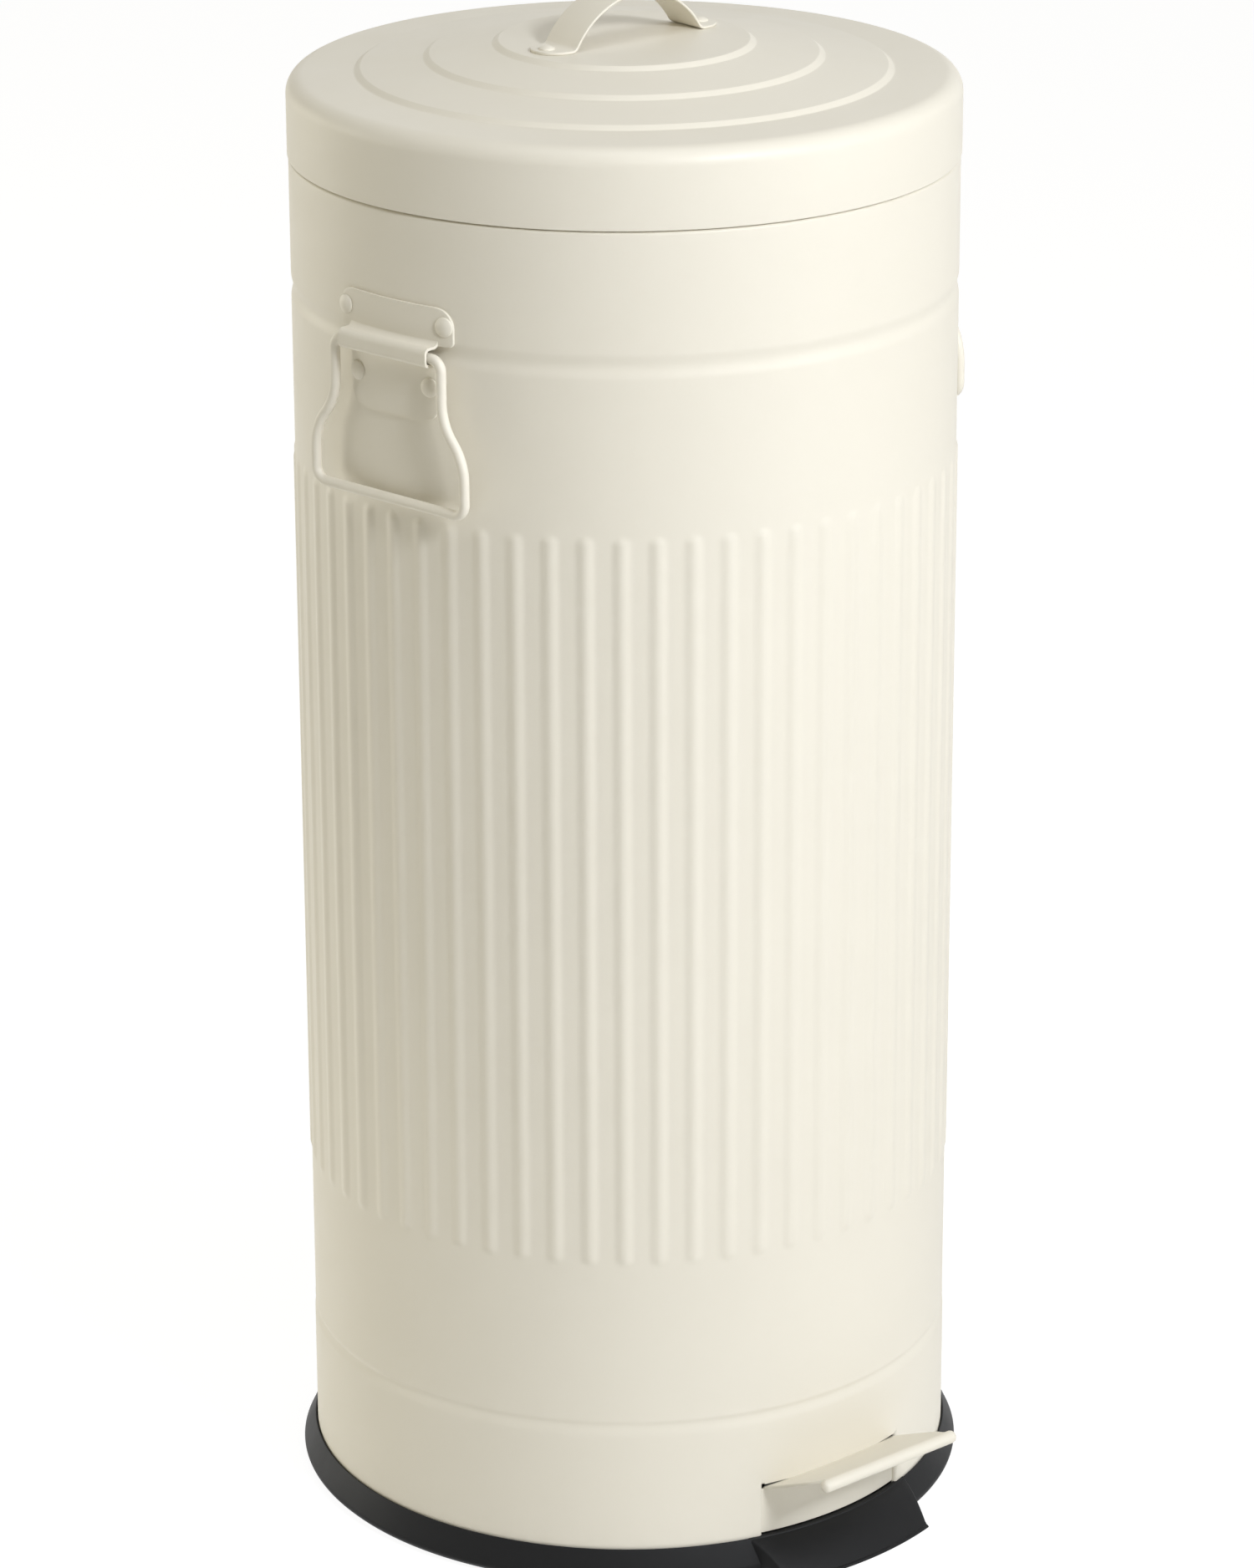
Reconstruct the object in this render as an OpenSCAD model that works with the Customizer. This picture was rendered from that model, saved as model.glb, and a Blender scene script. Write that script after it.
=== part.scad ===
// Round pedal bin with a ribbed steel shell, a stepped lid and a foot pedal.
// Millimetres. The axis is Z, the floor is z = 0, the pedal points to -Y,
// the lid hinge is at +Y and the carrying handles are near -X and +X.

/* [Shell] */
// Outer diameter of the wall
body_d = 292; // [284:1:300]
// Height of the wall from the top edge of the base to the shoulder
wall_h = 604.5; // [560:0.5:650]
// Thickness of the steel sheet
sheet_t = 1; // [0.8:0.1:1.2]
// Width of the shoulder that steps in to the neck
shoulder_w = 4.7; // [4.5:0.1:5.5]
// Height of the neck above the shoulder
neck_h = 26; // [22:0.5:27]
// Depth of the two rolled grooves
groove_d = 0.8; // [0.4:0.1:1]
// Width of the upper groove
upper_groove_w = 11; // [8:0.5:14]
// Height of the upper groove above the top edge of the base
upper_groove_z = 547; // [540:0.5:549]
// Width of the lower groove
lower_groove_w = 8; // [6:0.5:12]
// Height of the lower groove above the top edge of the base
lower_groove_z = 61.5; // [50:0.5:75]

/* [Ribs] */
// Number of upright ribs round the wall
rib_count = 60; // [40:1:70]
// Width of one rib
rib_w = 9; // [7:0.5:11]
// How far a rib stands out of the wall
rib_h = 0.9; // [0.6:0.1:1.4]
// Length of a rib
rib_len = 337; // [280:1:380]
// Height of the lower rib ends above the top edge of the base
rib_z = 137.3; // [110:0.1:150]
// Length of the rounded run-out at each end of a rib
rib_runout = 4.5; // [3:0.5:8]
// Turn of the first rib from the front
rib_turn = 1.25; // [0:0.25:5.75]

/* [Lid] */
// How far the lid skirt stands out of the wall
lid_over = 0.5; // [0.25:0.05:0.7]
// Gap between the shoulder and the lower edge of the lid
lid_gap = 1.5; // [0.8:0.1:3]
// Height of the lid skirt, up to the plane of the lid edge
skirt_h = 33.2; // [31:0.1:36]
// Thickness of the lid sheet
lid_t = 0.8; // [0.6:0.1:1]
// Radius of the rounded lid edge
lid_edge_r = 8; // [5:0.5:9]
// Radii of the three steps, from the outer one inwards
step_r1 = 115.4; // [110:0.1:120]
step_r2 = 85.5; // [80:0.1:90]
step_r3 = 55.7; // [53:0.1:60]
// Height of the middle of each step above the plane of the lid edge
step_z1 = 1.9; // [1.5:0.1:3]
step_z2 = 7.5; // [6:0.1:9]
step_z3 = 13; // [11:0.1:14]
// Height of one riser
riser_h = 2.2; // [1:0.1:3]
// Width of one riser
riser_w = 2.4; // [1.5:0.1:4]
// Angle that the lid opens to
lid_open = 80; // [70:1:85]

/* [Strap handle] */
// Width of the strap
strap_w = 21; // [18:0.5:26]
// Thickness of the strap
strap_t = 1.2; // [1:0.1:2]
// Outer radius of the strap arch
arch_r = 41.3; // [40:0.1:46]
// Rise of the arch top above the flat centre of the lid
arch_rise = 21.6; // [18:0.1:26]
// Distance from a strap rivet to the tip of its tab
strap_tab = 6.3; // [5.5:0.1:7.5]
// Distance from the tip of a strap tab to the middle of the inner step of the lid
strap_margin = 6.2; // [4.5:0.1:7]

/* [Base] */
// How far the base ring stands out of the wall
base_out = 7.4; // [6:0.1:11]
// Height of the base ring above the floor
base_h = 16.5; // [15:0.1:20]
// Radius of the rounded lower edge of the base ring
base_edge_r = 3.4; // [2:0.1:5]
// Width of the flat lip on top of the base ring
base_lip = 0.6; // [0.4:0.1:1.5]
// Depth that the wall sinks into the groove of the base
wall_sink = 3; // [2:0.1:4]
// Thickness of the base floor
base_floor_t = 2.2; // [1.6:0.1:2.2]
// Height of the inner upstand of the base
upstand_h = 17; // [10:0.5:30]
// Thickness of the inner upstand
upstand_t = 2.7; // [2:0.1:3]
// Distance that the rubber foot stands out below the base
foot_drop = 0.8; // [0.5:0.1:1.2]
// Depth of the rubber foot in the base floor
foot_seat = 0.7; // [0.4:0.1:1]
// Distance of the rubber foot inside the outer edge of the base
foot_in = 17.4; // [12:0.1:30]
// Width of the rubber foot
foot_w = 12; // [8:0.5:16]
// How far the toe pad stands out of the wall
toe_out = 21; // [15:0.5:27]
// Width of the toe pad where it leaves the ring
toe_root_w = 95; // [90:0.5:104]
// Width of the toe pad at its front corners
toe_tip_w = 84.8; // [76:0.1:92]
// Fall of the toe pad from its root to the start of its rounded front
toe_fall = 3.6; // [2:0.1:5]
// Radius of the rounded front of the toe pad
toe_round = 7.5; // [5:0.5:8]

/* [Pedal] */
// Width of the opening in the wall for the pedal
window_w = 80.4; // [76:0.1:84]
// Side clearance of the pedal in its opening
pedal_side_gap = 1.2; // [0.8:0.1:2]
// Depth of the pedal skirt behind the outer face of the wall
skirt_recess = 1.3; // [1:0.1:2]
// Thickness of the pedal sheet
pedal_t = 1.5; // [1.2:0.1:2]
// Height of the tread at the corners of the opening, above the top edge of the base
tread_root_z = 23.7; // [20:0.1:28]
// Rise of the tread away from the wall
tread_slope = 24.6; // [15:0.1:28]
// How far the rolled lip stands out over the toe pad
lip_out = 15.9; // [8:0.1:24]
// Radius of the rolled lip
lip_r = 2.9; // [2.4:0.1:4]
// Width of the pedal at the lip
lip_w = 76; // [60:0.5:77]
// Radius of the front corners of the pedal
lip_corner = 7; // [3:0.5:12]
// Clearance between the tread and the upper edge of its opening
slot_gap = 1; // [0.6:0.1:2]
// Distance from the axis forward to the pedal pin
fulcrum_y = 60; // [50:1:70]
// Height of the pedal pin above the floor
fulcrum_z = 22; // [21:0.5:24]
// Width of the lever channel
lever_w = 22; // [18:0.5:26]
// Height of the lever channel
lever_h = 9; // [8:0.5:10]
// Thickness of the lever sheet
lever_t = 2; // [1.5:0.1:2.5]
// Diameter of the pedal pin
pedal_pin_d = 5; // [4:0.1:6]

/* [Push rod] */
// Diameter of the push rod
rod_d = 5; // [4:0.1:6]
// Distance of the push rod inside the outer face of the wall
rod_in = 12; // [10.5:0.1:14]
// Gap at rest between the lever and the push rod
rod_foot_gap = 0.3; // [0.2:0.05:0.5]
// Gap at rest between the rod cap and the lid arm
rod_cap_gap = 0.5; // [0.4:0.05:1]
// Radius of the domed rod cap
cap_r = 3.5; // [3.3:0.1:4]
// Height of the rod cap below its dome
cap_h = 12; // [8:0.5:16]
// Heights of the lowest guide and the step up to the next ones
guide_z = 120; // [90:5:160]
guide_step = 200; // [150:5:205]
// Number of rod guides
guide_count = 3; // [2:1:3]
// Width of a rod guide
guide_w = 18; // [14:0.5:22]

/* [Hinge] */
// Distance of the hinge pin behind the outer face of the wall
hinge_out = 6.5; // [6:0.1:8]
// Distance of the hinge pin below the lower edge of the lid
hinge_drop = 20.5; // [19:0.5:22]
// Diameter of the hinge pin
hinge_pin_d = 5; // [4:0.1:5.4]
// Outer diameter of the hinge knuckles
knuckle_d = 8; // [7.6:0.1:9]
// Width of the middle knuckle
mid_knuckle_w = 17.4; // [14:0.1:20]
// Width of each outer knuckle
side_knuckle_w = 12.5; // [9:0.5:14]
// Gap between neighbouring knuckles
knuckle_gap = 0.4; // [0.2:0.1:0.8]
// Thickness of the hinge plates
hinge_t = 1.5; // [1.2:0.1:1.8]
// Width of the plate on the lid
leaf_w = 44; // [38:1:52]
// Width of the plate on the wall
bracket_w = 64; // [62:1:72]
// Thickness of the lid arm, up and down
arm_t = 5; // [4:0.1:6]
// Width of the lid arm
arm_w = 8; // [6:0.5:10]
// How far the lid arm runs on past the rod
arm_over = 3.9; // [3:0.1:5]
// Margin of the hinge plates round their rivets
hinge_margin = 6; // [5:0.5:8]
// Drop of the lower rivets on the wall below the hinge pin
bracket_drop = 50; // [48:1:60]
// Distance between the rivet rows on the wall
bracket_pitch = 24; // [20:1:26]
// Rise of the lower rivets on the lid above the lower edge of the lid
leaf_rise = 7; // [6:0.5:9]
// Distance between the rivet rows on the lid
leaf_pitch = 10; // [9:0.5:12]

/* [Side handles] */
// Turn of the handles from the front
handle_turn = 82; // [70:1:110]
// Diameter of the handle wire
bail_d = 4.5; // [4:0.1:5]
// Distance from the wall to the axis of the handle wire
bail_out = 3.3; // [3.1:0.1:4]
// Height of the handle pivot above the top edge of the base
bail_z = 546; // [541:0.5:547]
// Drop from the pivot to the grip bar
bail_drop = 65.7; // [55:0.1:67]
// Half width of the bail at its pivot
bail_top_x = 31; // [31:0.1:33]
// Half width of the bail at its grip bar
bail_low_x = 43.5; // [40:0.1:48]
// Length of the straight upper legs
bail_leg = 18; // [14:0.5:22]
// Width of the upper plate of the handle bracket
plate_w = 66; // [64:0.5:70]
// Rise of the upper plate above the pivot
plate_top = 21.5; // [20:0.5:24]
// Width of the lower plate and of the wire channel
channel_w = 50.6; // [46:0.1:51]
// Drop of the lower plate below the pivot
plate_low = 28.5; // [25:0.5:32]
// Thickness of the handle bracket
plate_t = 1.3; // [1:0.1:1.4]
// Radius of the corners of the plates
plate_corner = 9; // [5:0.5:10]
// Distance between the upper rivets, and their rise above the pivot
upper_rivet_w = 56.4; // [50:0.2:57]
upper_rivet_rise = 13.2; // [11:0.2:14]
// Distance between the lower rivets, and their drop below the pivot
lower_rivet_w = 41.4; // [36:0.2:42]
lower_rivet_drop = 14; // [12:0.2:16]

/* [Bucket] */
// Gap between the bucket and the lip of the ledge that carries it
bucket_gap = 6; // [4:0.5:12]
// How much smaller the bucket is at its bottom, in radius
bucket_taper = 10; // [4:0.5:20]
// Wall thickness of the bucket
bucket_t = 2; // [1.5:0.1:3]
// Height of the underside of the bucket above the floor
bucket_z = 62; // [60:0.5:80]
// Gap between the bucket rim and the inside of the collar
rim_gap = 4.9; // [3.5:0.1:6]
// Thickness of the bucket rim
rim_t = 2.5; // [2:0.1:3]
// Diameter of the wire handle of the bucket
wire_d = 4; // [3:0.1:4.4]
// Distance of the wire handle inside the edge of the bucket rim
wire_in = 3; // [2.5:0.1:4]
// Height of the ears of the bucket above its rim
ear_h = 6.5; // [5:0.1:7]
// Length of an ear along the rim
ear_len = 14; // [12:0.5:20]

/* [Collar] */
// Height of the collar top above the neck
collar_top = 1.8; // [1.2:0.1:2]
// Depth of the ledge that carries the bucket, below the neck top
ledge_drop = 18; // [16:0.5:20]
// Width of the ledge inside the wall of the collar
ledge_w = 10.4; // [9:0.1:13]
// Thickness of the collar
collar_t = 1.6; // [1.2:0.1:2]
// Drop of the inner lip below the ledge
ledge_lip = 7; // [4:0.5:7]
// Number of rubber buffers for the lid
buffer_count = 4; // [3:1:6]
// Diameter of a rubber buffer
buffer_d = 5; // [4:0.1:5.4]

/* [Fasteners] */
// Diameter of the rivet heads on the handle brackets
big_head_d = 8.5; // [7:0.1:9]
// Height of the rivet heads on the handle brackets
big_head_h = 1.8; // [1.2:0.1:2]
// Diameter of the other rivet heads
small_head_d = 7; // [6:0.1:8]
// Height of the other rivet heads
small_head_h = 1.8; // [1.2:0.1:2.2]
// Diameter of the rivet shanks
shank_d = 3.6; // [3:0.1:4]
// Diameter of the screw heads
screw_head_d = 6.4; // [5.6:0.1:7]
// Diameter of the screw shanks
screw_d = 3.2; // [2.8:0.1:3.6]

/* [Fits] */
// Radial running clearance of pins, wires and the push rod
running = 0.05; // [0.02:0.01:0.09]
// Gap between a piece and the seat that carries it
seat = 0.05; // [0.02:0.01:0.1]
// Gap between a soft or curved piece and its neighbour
loose = 0.3; // [0.2:0.05:0.4]

/* [Hidden] */
$fn = 96;

cream = [0.88, 0.86, 0.79];
black = [0.15, 0.15, 0.15];
rubber = [0.1, 0.1, 0.1];
steel = [0.72, 0.73, 0.75];
grey = [0.42, 0.43, 0.44];

// Cut tools run past the faces that they cut by this much
over = 1;

// Lengths of bent wire differ by this much in radius and overlap by this much
joint_step = 0.02;
joint_run = 0.2;

// Radii of the corners of the bails
top_bend = 5;
low_bend = 6;

// Shell
body_r = body_d / 2;
inner_r = body_r - sheet_t;
wall_low = base_h - wall_sink;
shoulder_z = base_h + wall_h;
shoulder_round = 2;
neck_r = body_r - shoulder_w;
neck_top = shoulder_z + neck_h;

// Lid
lid_r = body_r + lid_over;
lid_low = shoulder_z + lid_gap;
lid_edge_z = lid_low + skirt_h;
lid_flat_z = lid_edge_z + step_z3 + riser_h / 2;
strap_tip_x = step_r3 - strap_margin;
strap_rivet_x = strap_tip_x - strap_tab;

// Hinge, in the plane of the mechanism
hinge_y = body_r + hinge_out;
hinge_z = lid_low - hinge_drop;
pin_reach = mid_knuckle_w / 2 + knuckle_gap + side_knuckle_w;
rod_y = body_r - rod_in;

// The lid arm swings evenly below and above level while the lid opens; the pedal turns to match
rod_lift = 2 * (hinge_y - rod_y) * tan(lid_open / 2);
lever_top = fulcrum_z + lever_h / 2;
rod_back = rod_y + rod_d / 2 + fulcrum_y;
pedal_turn = atan(rod_lift / rod_back);
lever_reach = (rod_back + lever_h / 2 * sin(pedal_turn)) / cos(pedal_turn);
arm_len = (hinge_y - rod_y + arm_over) / cos(lid_open / 2) - arm_t / 2;
cap_z = hinge_z - rod_lift / 2 - (arm_t / 2 + cap_r + rod_cap_gap) / cos(lid_open / 2);

// Pedal
tread_root_y = sqrt(body_r * body_r - window_w * window_w / 4);
skirt_r = body_r - skirt_recess;
lip_reach = body_r + toe_out + lip_out;
pedal_root_w = window_w - 2 * pedal_side_gap;
lever_back = lever_reach - fulcrum_y + 1;

// Base
base_r = body_r + base_out;
toe_start = body_r + 1;
toe_r = body_r + toe_out;
pocket_r = body_r + 0.9;
pocket_in = skirt_r - pedal_t - 2.7;
upstand_r = inner_r - loose;
floor_top = foot_drop + base_floor_t;
foot_r = base_r - foot_in;

// Collar and bucket
collar_r = neck_r - sheet_t - loose;
collar_in = collar_r - collar_t;
ledge_in = collar_in - ledge_w;
ledge_z = neck_top - ledge_drop;
rim_z = ledge_z + loose;
rim_top = rim_z + rim_t;
rim_r = collar_in - rim_gap;
bucket_r = ledge_in - bucket_gap;
bucket_low_r = bucket_r - bucket_taper;
wire_r = rim_r - wire_in;
bucket_ear_x = wire_r - 7;
wire_z = rim_top + wire_d / 2 + loose;
buffer_r = collar_r - collar_t / 2;
collar_high = neck_top + seat + collar_top;

// Rows of points along an arc: centre, radii across and up, angles from and to
function arc(cx, cy, rx, ry, a, b, n) =
    [for (i = [0:n]) let (t = a + (b - a) * i / n) [cx + rx * cos(t), cy + ry * sin(t)]];

// A shallow groove in a wall of radius r
function groove(r, zc, w, d) =
    [for (i = [0:6]) let (u = i / 3 - 1) [r - d * (1 - u * u), zc + u * w / 2]];

// The outline of the shell, moved inwards by i
function shell_line(i) = concat(
    [[body_r - i, wall_low]],
    groove(body_r - i, base_h + lower_groove_z, lower_groove_w, groove_d),
    groove(body_r - i, base_h + upper_groove_z, upper_groove_w, groove_d),
    arc(body_r - shoulder_round, shoulder_z - shoulder_round, shoulder_round - i,
        shoulder_round - i, 0, 90, 3),
    [[neck_r - i, shoulder_z - i], [neck_r - i, neck_top]]);

// The outline of the lid from the skirt to the centre, lowered by i
function lid_line(i) = concat(
    [[lid_r - i, lid_low]],
    arc(lid_r - lid_edge_r, lid_edge_z - lid_edge_r, lid_edge_r - i, lid_edge_r - i, 0, 90, 6),
    [for (s = [[step_r1, step_z1], [step_r2, step_z2], [step_r3, step_z3]], k = [1, -1])
        [s[0] + k * riser_w / 2, lid_edge_z + s[1] - k * riser_h / 2 - i]],
    [[0, lid_flat_z - i]]);

function reversed(p) = [for (i = [len(p) - 1:-1:0]) p[i]];

// Height of the upper face of the tread at a distance y in front of the axis
function tread_z(y) = base_h + tread_root_z + (y - tread_root_y) * tan(tread_slope);

// A solid turned about the axis between two radii and two heights
module ring(r_in, r_out, z_low, z_high) {
    rotate_extrude()
        translate([r_in, z_low]) square([r_out - r_in, z_high - z_low]);
}

// A profile given as points forward of the axis and up, extruded across it
module across(points, w) {
    rotate([90, 0, -90]) linear_extrude(w, center = true) polygon(points);
}

// A profile given as points back from the axis and up, extruded across it
module across_back(points, w) {
    rotate([90, 0, 90]) linear_extrude(w, center = true) polygon(points);
}

// A rod along X
module x_rod(r, w) {
    rotate([0, 90, 0]) cylinder(r = r, h = w, center = true);
}

// A rivet with its head up and its seat at z = 0, through sheets of thickness grip
module rivet(head_d, head_h, grip) {
    tail_h = 1;
    rotate_extrude() polygon(concat(
        [[0, -grip - tail_h], [shank_d * 0.9, -grip - tail_h], [shank_d * 0.9, -grip],
            [shank_d / 2, -grip], [shank_d / 2, 0], [head_d / 2, 0]],
        arc(0, 0, head_d / 2, head_h, 15, 75, 3),
        [[0, head_h]]));
}

module rivet_hole(depth) {
    cylinder(d = shank_d + 2 * seat, h = depth, center = true);
}

// Body shell

// All ribs as one band that reaches half way in to the sheet, thinned out at both ends
module ribs() {
    low = base_h + rib_z;
    high = low + rib_len;
    sunk = 0.3;
    run = sunk * rib_runout / rib_h;
    far = rib_runout * (rib_h + over) / rib_h;
    intersection() {
        translate([0, 0, low - run - over]) linear_extrude(rib_len + 2 * run + 2 * over)
            polygon([for (i = [0:rib_count - 1], k = [0:3])
                let (u = 1.15 * (k / 1.5 - 1),
                    a = rib_turn - 90 + i * 360 / rib_count + asin(u * rib_w / 2 / body_r),
                    r = body_r + rib_h * (1 - u * u))
                [r * cos(a), r * sin(a)]]);
        rotate_extrude($fn = 360) polygon([[inner_r + sheet_t / 2, low - run], [body_r - sunk, low - run],
            [body_r + rib_h + over, low + far], [body_r + rib_h + over, high - far],
            [body_r - sunk, high + run], [inner_r + sheet_t / 2, high + run]]);
    }
}

// Places of the four rivets of one handle, before the handle is turned to its side
module at_handle_rivets() {
    for (s = [-1, 1]) {
        turn_up = s * asin(upper_rivet_w / 2 / body_r);
        turn_low = s * asin(lower_rivet_w / 2 / body_r);
        rotate([0, 0, turn_up])
            translate([0, -body_r - seat - plate_t, base_h + bail_z + upper_rivet_rise])
                rotate([90, 0, 0]) children();
        rotate([0, 0, turn_low])
            translate([0, -body_r - seat - plate_t, base_h + bail_z - lower_rivet_drop])
                rotate([90, 0, 0]) children();
    }
}

// Places of the rivets of the hinge plates: turn from the rear, radius and heights
module at_rear_rivets(turn, r, low, high) {
    for (s = [-1, 1], z = [low, high]) rotate([0, 0, 180 + s * turn])
        translate([0, -r, z]) rotate([90, 0, 0]) children();
}

module pedal_window() {
    far = body_r + 20;
    near = body_r - 60;
    rise = slot_gap / cos(tread_slope);
    across([[near, wall_low - over], [far, wall_low - over], [far, tread_z(far) + rise],
        [near, tread_z(near) + rise]], window_w);
}

module body_shell() {
    color(cream) difference() {
        union() {
            rotate_extrude($fn = 360)
                polygon(concat(shell_line(0), reversed(shell_line(sheet_t))));
            ribs();
        }
        pedal_window();
        arm_slot();
        for (s = [-1, 1]) rotate([0, 0, s * handle_turn]) at_handle_rivets() rivet_hole(20);
        at_rear_rivets(bracket_rivet_turn, body_r, bracket_rivet_low, bracket_rivet_high)
            rivet_hole(20);
    }
}

// The slot in the rear wall for the arm that swings with the lid
module arm_slot() {
    slot_w = arm_w + 4;
    half_h = arm_t / 2 + (hinge_out + sheet_t) * tan(lid_open / 2) + arm_t;
    translate([-slot_w / 2, body_r / 2, hinge_z - half_h]) cube([slot_w, body_r, 2 * half_h]);
}

// Base

module toe_pad() {
    round_y = toe_r - toe_round;
    round_z = base_h - toe_fall - toe_round;
    intersection() {
        rotate_extrude() polygon(concat(
            [[toe_start, foot_drop], [toe_r, foot_drop]],
            arc(round_y, max(round_z, foot_drop), toe_round, toe_round, 0, 80, 6),
            [[toe_start, base_h]]));
        linear_extrude(base_h + over) polygon([[-toe_root_w / 2, -body_r * 0.9],
            [toe_root_w / 2, -body_r * 0.9], [toe_tip_w / 2, -toe_r * 0.96],
            [toe_tip_w / 2, -toe_r - over], [-toe_tip_w / 2, -toe_r - over],
            [-toe_tip_w / 2, -toe_r * 0.96]]);
    }
}

module base_moulding() {
    color(black) difference() {
        union() {
            rotate_extrude() polygon(concat(
                [[0, foot_drop]],
                arc(base_r - base_edge_r, foot_drop + base_edge_r, base_edge_r, base_edge_r,
                    -90, 0, 6),
                [[pocket_r + base_lip, base_h], [pocket_r, base_h],
                    [pocket_r, wall_low - loose], [upstand_r, wall_low - loose],
                    [upstand_r, base_h + upstand_h], [upstand_r - upstand_t, base_h + upstand_h],
                    [upstand_r - upstand_t, floor_top], [0, floor_top]]));
            toe_pad();
        }
        intersection() {
            ring(pocket_in, pocket_r, -over, base_h + upstand_h + over);
            translate([-window_w / 2, -body_r - 10, -2 * over])
                cube([window_w, body_r, base_h + upstand_h + 4 * over]);
        }
        ring(foot_r - foot_w - seat, foot_r + seat, -over, foot_drop + foot_seat + seat);
        at_bracket_screws() cylinder(d = screw_d + 2 * seat, h = 20, center = true);
    }
}

module foot_ring() {
    color(rubber) ring(foot_r - foot_w, foot_r, 0, foot_drop + foot_seat);
}

// Pedal bearing

ear_t = 1.8;
ear_gap = 0.4;
ear_in = lever_w / 2 + ear_gap;
ear_out = ear_in + ear_t;
bracket_t = 1.5;
bracket_len = 30;
bracket_foot = 11;
bracket_z = floor_top + seat;

module at_bracket_screws() {
    for (x = [-1, 1], y = [-1, 1])
        translate([x * (ear_out + bracket_foot / 2), -fulcrum_y + y * bracket_len * 0.3,
            bracket_z + bracket_t]) children();
}

module fulcrum_bracket() {
    plate = ear_out + bracket_foot;
    color(steel) difference() {
        union() {
            translate([-plate, -fulcrum_y - bracket_len / 2, bracket_z])
                cube([2 * plate, bracket_len, bracket_t]);
            for (s = [-1, 1]) translate([s * (ear_in + ear_t / 2), -fulcrum_y, 0]) {
                translate([-ear_t / 2, -pedal_pin_d * 1.4, bracket_z])
                    cube([ear_t, pedal_pin_d * 2.8, fulcrum_z - bracket_z]);
                translate([0, 0, fulcrum_z]) x_rod(pedal_pin_d * 1.4, ear_t);
            }
        }
        translate([0, -fulcrum_y, fulcrum_z])
            x_rod(pedal_pin_d / 2 + running, 2 * ear_out + 2 * over);
        at_bracket_screws() cylinder(d = screw_d + 0.4, h = 20, center = true);
    }
}

module fulcrum_pin() {
    head_t = 1.4;
    end = ear_out + seat;
    color(steel) translate([0, -fulcrum_y, fulcrum_z]) {
        x_rod(pedal_pin_d / 2, 2 * end + 0.2);
        for (s = [-1, 1]) translate([s * (end + head_t / 2), 0, 0])
            x_rod(pedal_pin_d * 0.75, head_t);
    }
}

module bracket_screws() {
    head_h = 2;
    tip = bracket_t + base_floor_t - foot_seat * 0.2;
    color(steel) at_bracket_screws() translate([0, 0, seat]) rotate_extrude()
        polygon(concat([[0, -tip], [screw_d / 2 - 0.4, -tip], [screw_d / 2, -tip + 0.6],
            [screw_d / 2, 0], [screw_head_d / 2, 0]],
            arc(0, 0, screw_head_d / 2, head_h, 15, 60, 2), [[1, head_h], [0, head_h - 0.6]]));
}

// Pedal

module pedal_tread() {
    lip_y = lip_reach - lip_r;
    lip_z = tread_z(lip_y) - lip_r / cos(tread_slope);
    drop = pedal_t / cos(tread_slope);
    inner = pocket_in - 10;
    skirt_low = base_h + 0.5;
    half_root = pedal_root_w / 2;
    color(cream) {
        difference() {
            intersection() {
                union() {
                    across([[inner, tread_z(inner)], [lip_y, tread_z(lip_y)],
                        [lip_y, tread_z(lip_y) - drop], [inner, tread_z(inner) - drop]],
                        2 * pedal_root_w);
                    translate([0, -lip_y, lip_z]) x_rod(lip_r, 2 * pedal_root_w);
                }
                linear_extrude(2 * lip_reach) polygon(concat(
                    [[half_root, -inner], [half_root, -tread_root_y]],
                    arc(lip_w / 2 - lip_corner, -lip_reach + lip_corner, lip_corner,
                        lip_corner, 0, -90, 6),
                    arc(-lip_w / 2 + lip_corner, -lip_reach + lip_corner, lip_corner,
                        lip_corner, -90, -180, 6),
                    [[-half_root, -tread_root_y], [-half_root, -inner]]));
            }
            cylinder(r = skirt_r - pedal_t / 2, h = 2 * lip_reach, center = true);
        }
        intersection() {
            ring(skirt_r - pedal_t, skirt_r, skirt_low, tread_z(body_r));
            across([[inner, skirt_low - over], [body_r, skirt_low - over],
                [body_r, tread_z(body_r) - drop / 2], [inner, tread_z(inner) - drop / 2]],
                pedal_root_w - 2);
        }
    }
}

// The lever is a channel open below, with a curved tab at its front that is welded to the skirt
module pedal_lever() {
    front_r = skirt_r - pedal_t - seat;
    low = fulcrum_z - lever_h / 2;
    tab_w = lever_w + 6;
    tab_rise = 8;
    front = front_r - lever_t * 0.7;
    inner = front_r - 2 * lever_t;
    color(steel) difference() {
        union() {
            translate([-lever_w / 2, -front, low]) cube([lever_w, front + lever_back, lever_h]);
            intersection() {
                ring(front_r - lever_t, front_r, low + 0.5, lever_top + tab_rise);
                translate([-tab_w / 2, -body_r, 0]) cube([tab_w, body_r, body_r]);
            }
        }
        translate([-lever_w / 2 + lever_t, -inner, low - over])
            cube([lever_w - 2 * lever_t, inner + lever_back - lever_t, lever_h - lever_t + over]);
        translate([0, -fulcrum_y, fulcrum_z]) x_rod(pedal_pin_d / 2 + running, lever_w + 2 * over);
    }
}

// Push rod

module push_rod() {
    foot = lever_top + rod_foot_gap;
    top = cap_z - seat;
    color(steel) translate([0, rod_y, foot]) {
        cylinder(d = rod_d, h = top - foot);
    }
}

module rod_cap() {
    color(black) difference() {
        translate([0, rod_y, cap_z - cap_h]) rotate_extrude() polygon(concat(
            [[0, 0], [cap_r, 0]], arc(0, cap_h, cap_r, cap_r, 0, 75, 6), [[0, cap_h + cap_r]]));
        translate([0, rod_y, cap_z - cap_h - over])
            cylinder(r = rod_d / 2 + seat, h = cap_h + over);
    }
}

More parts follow.
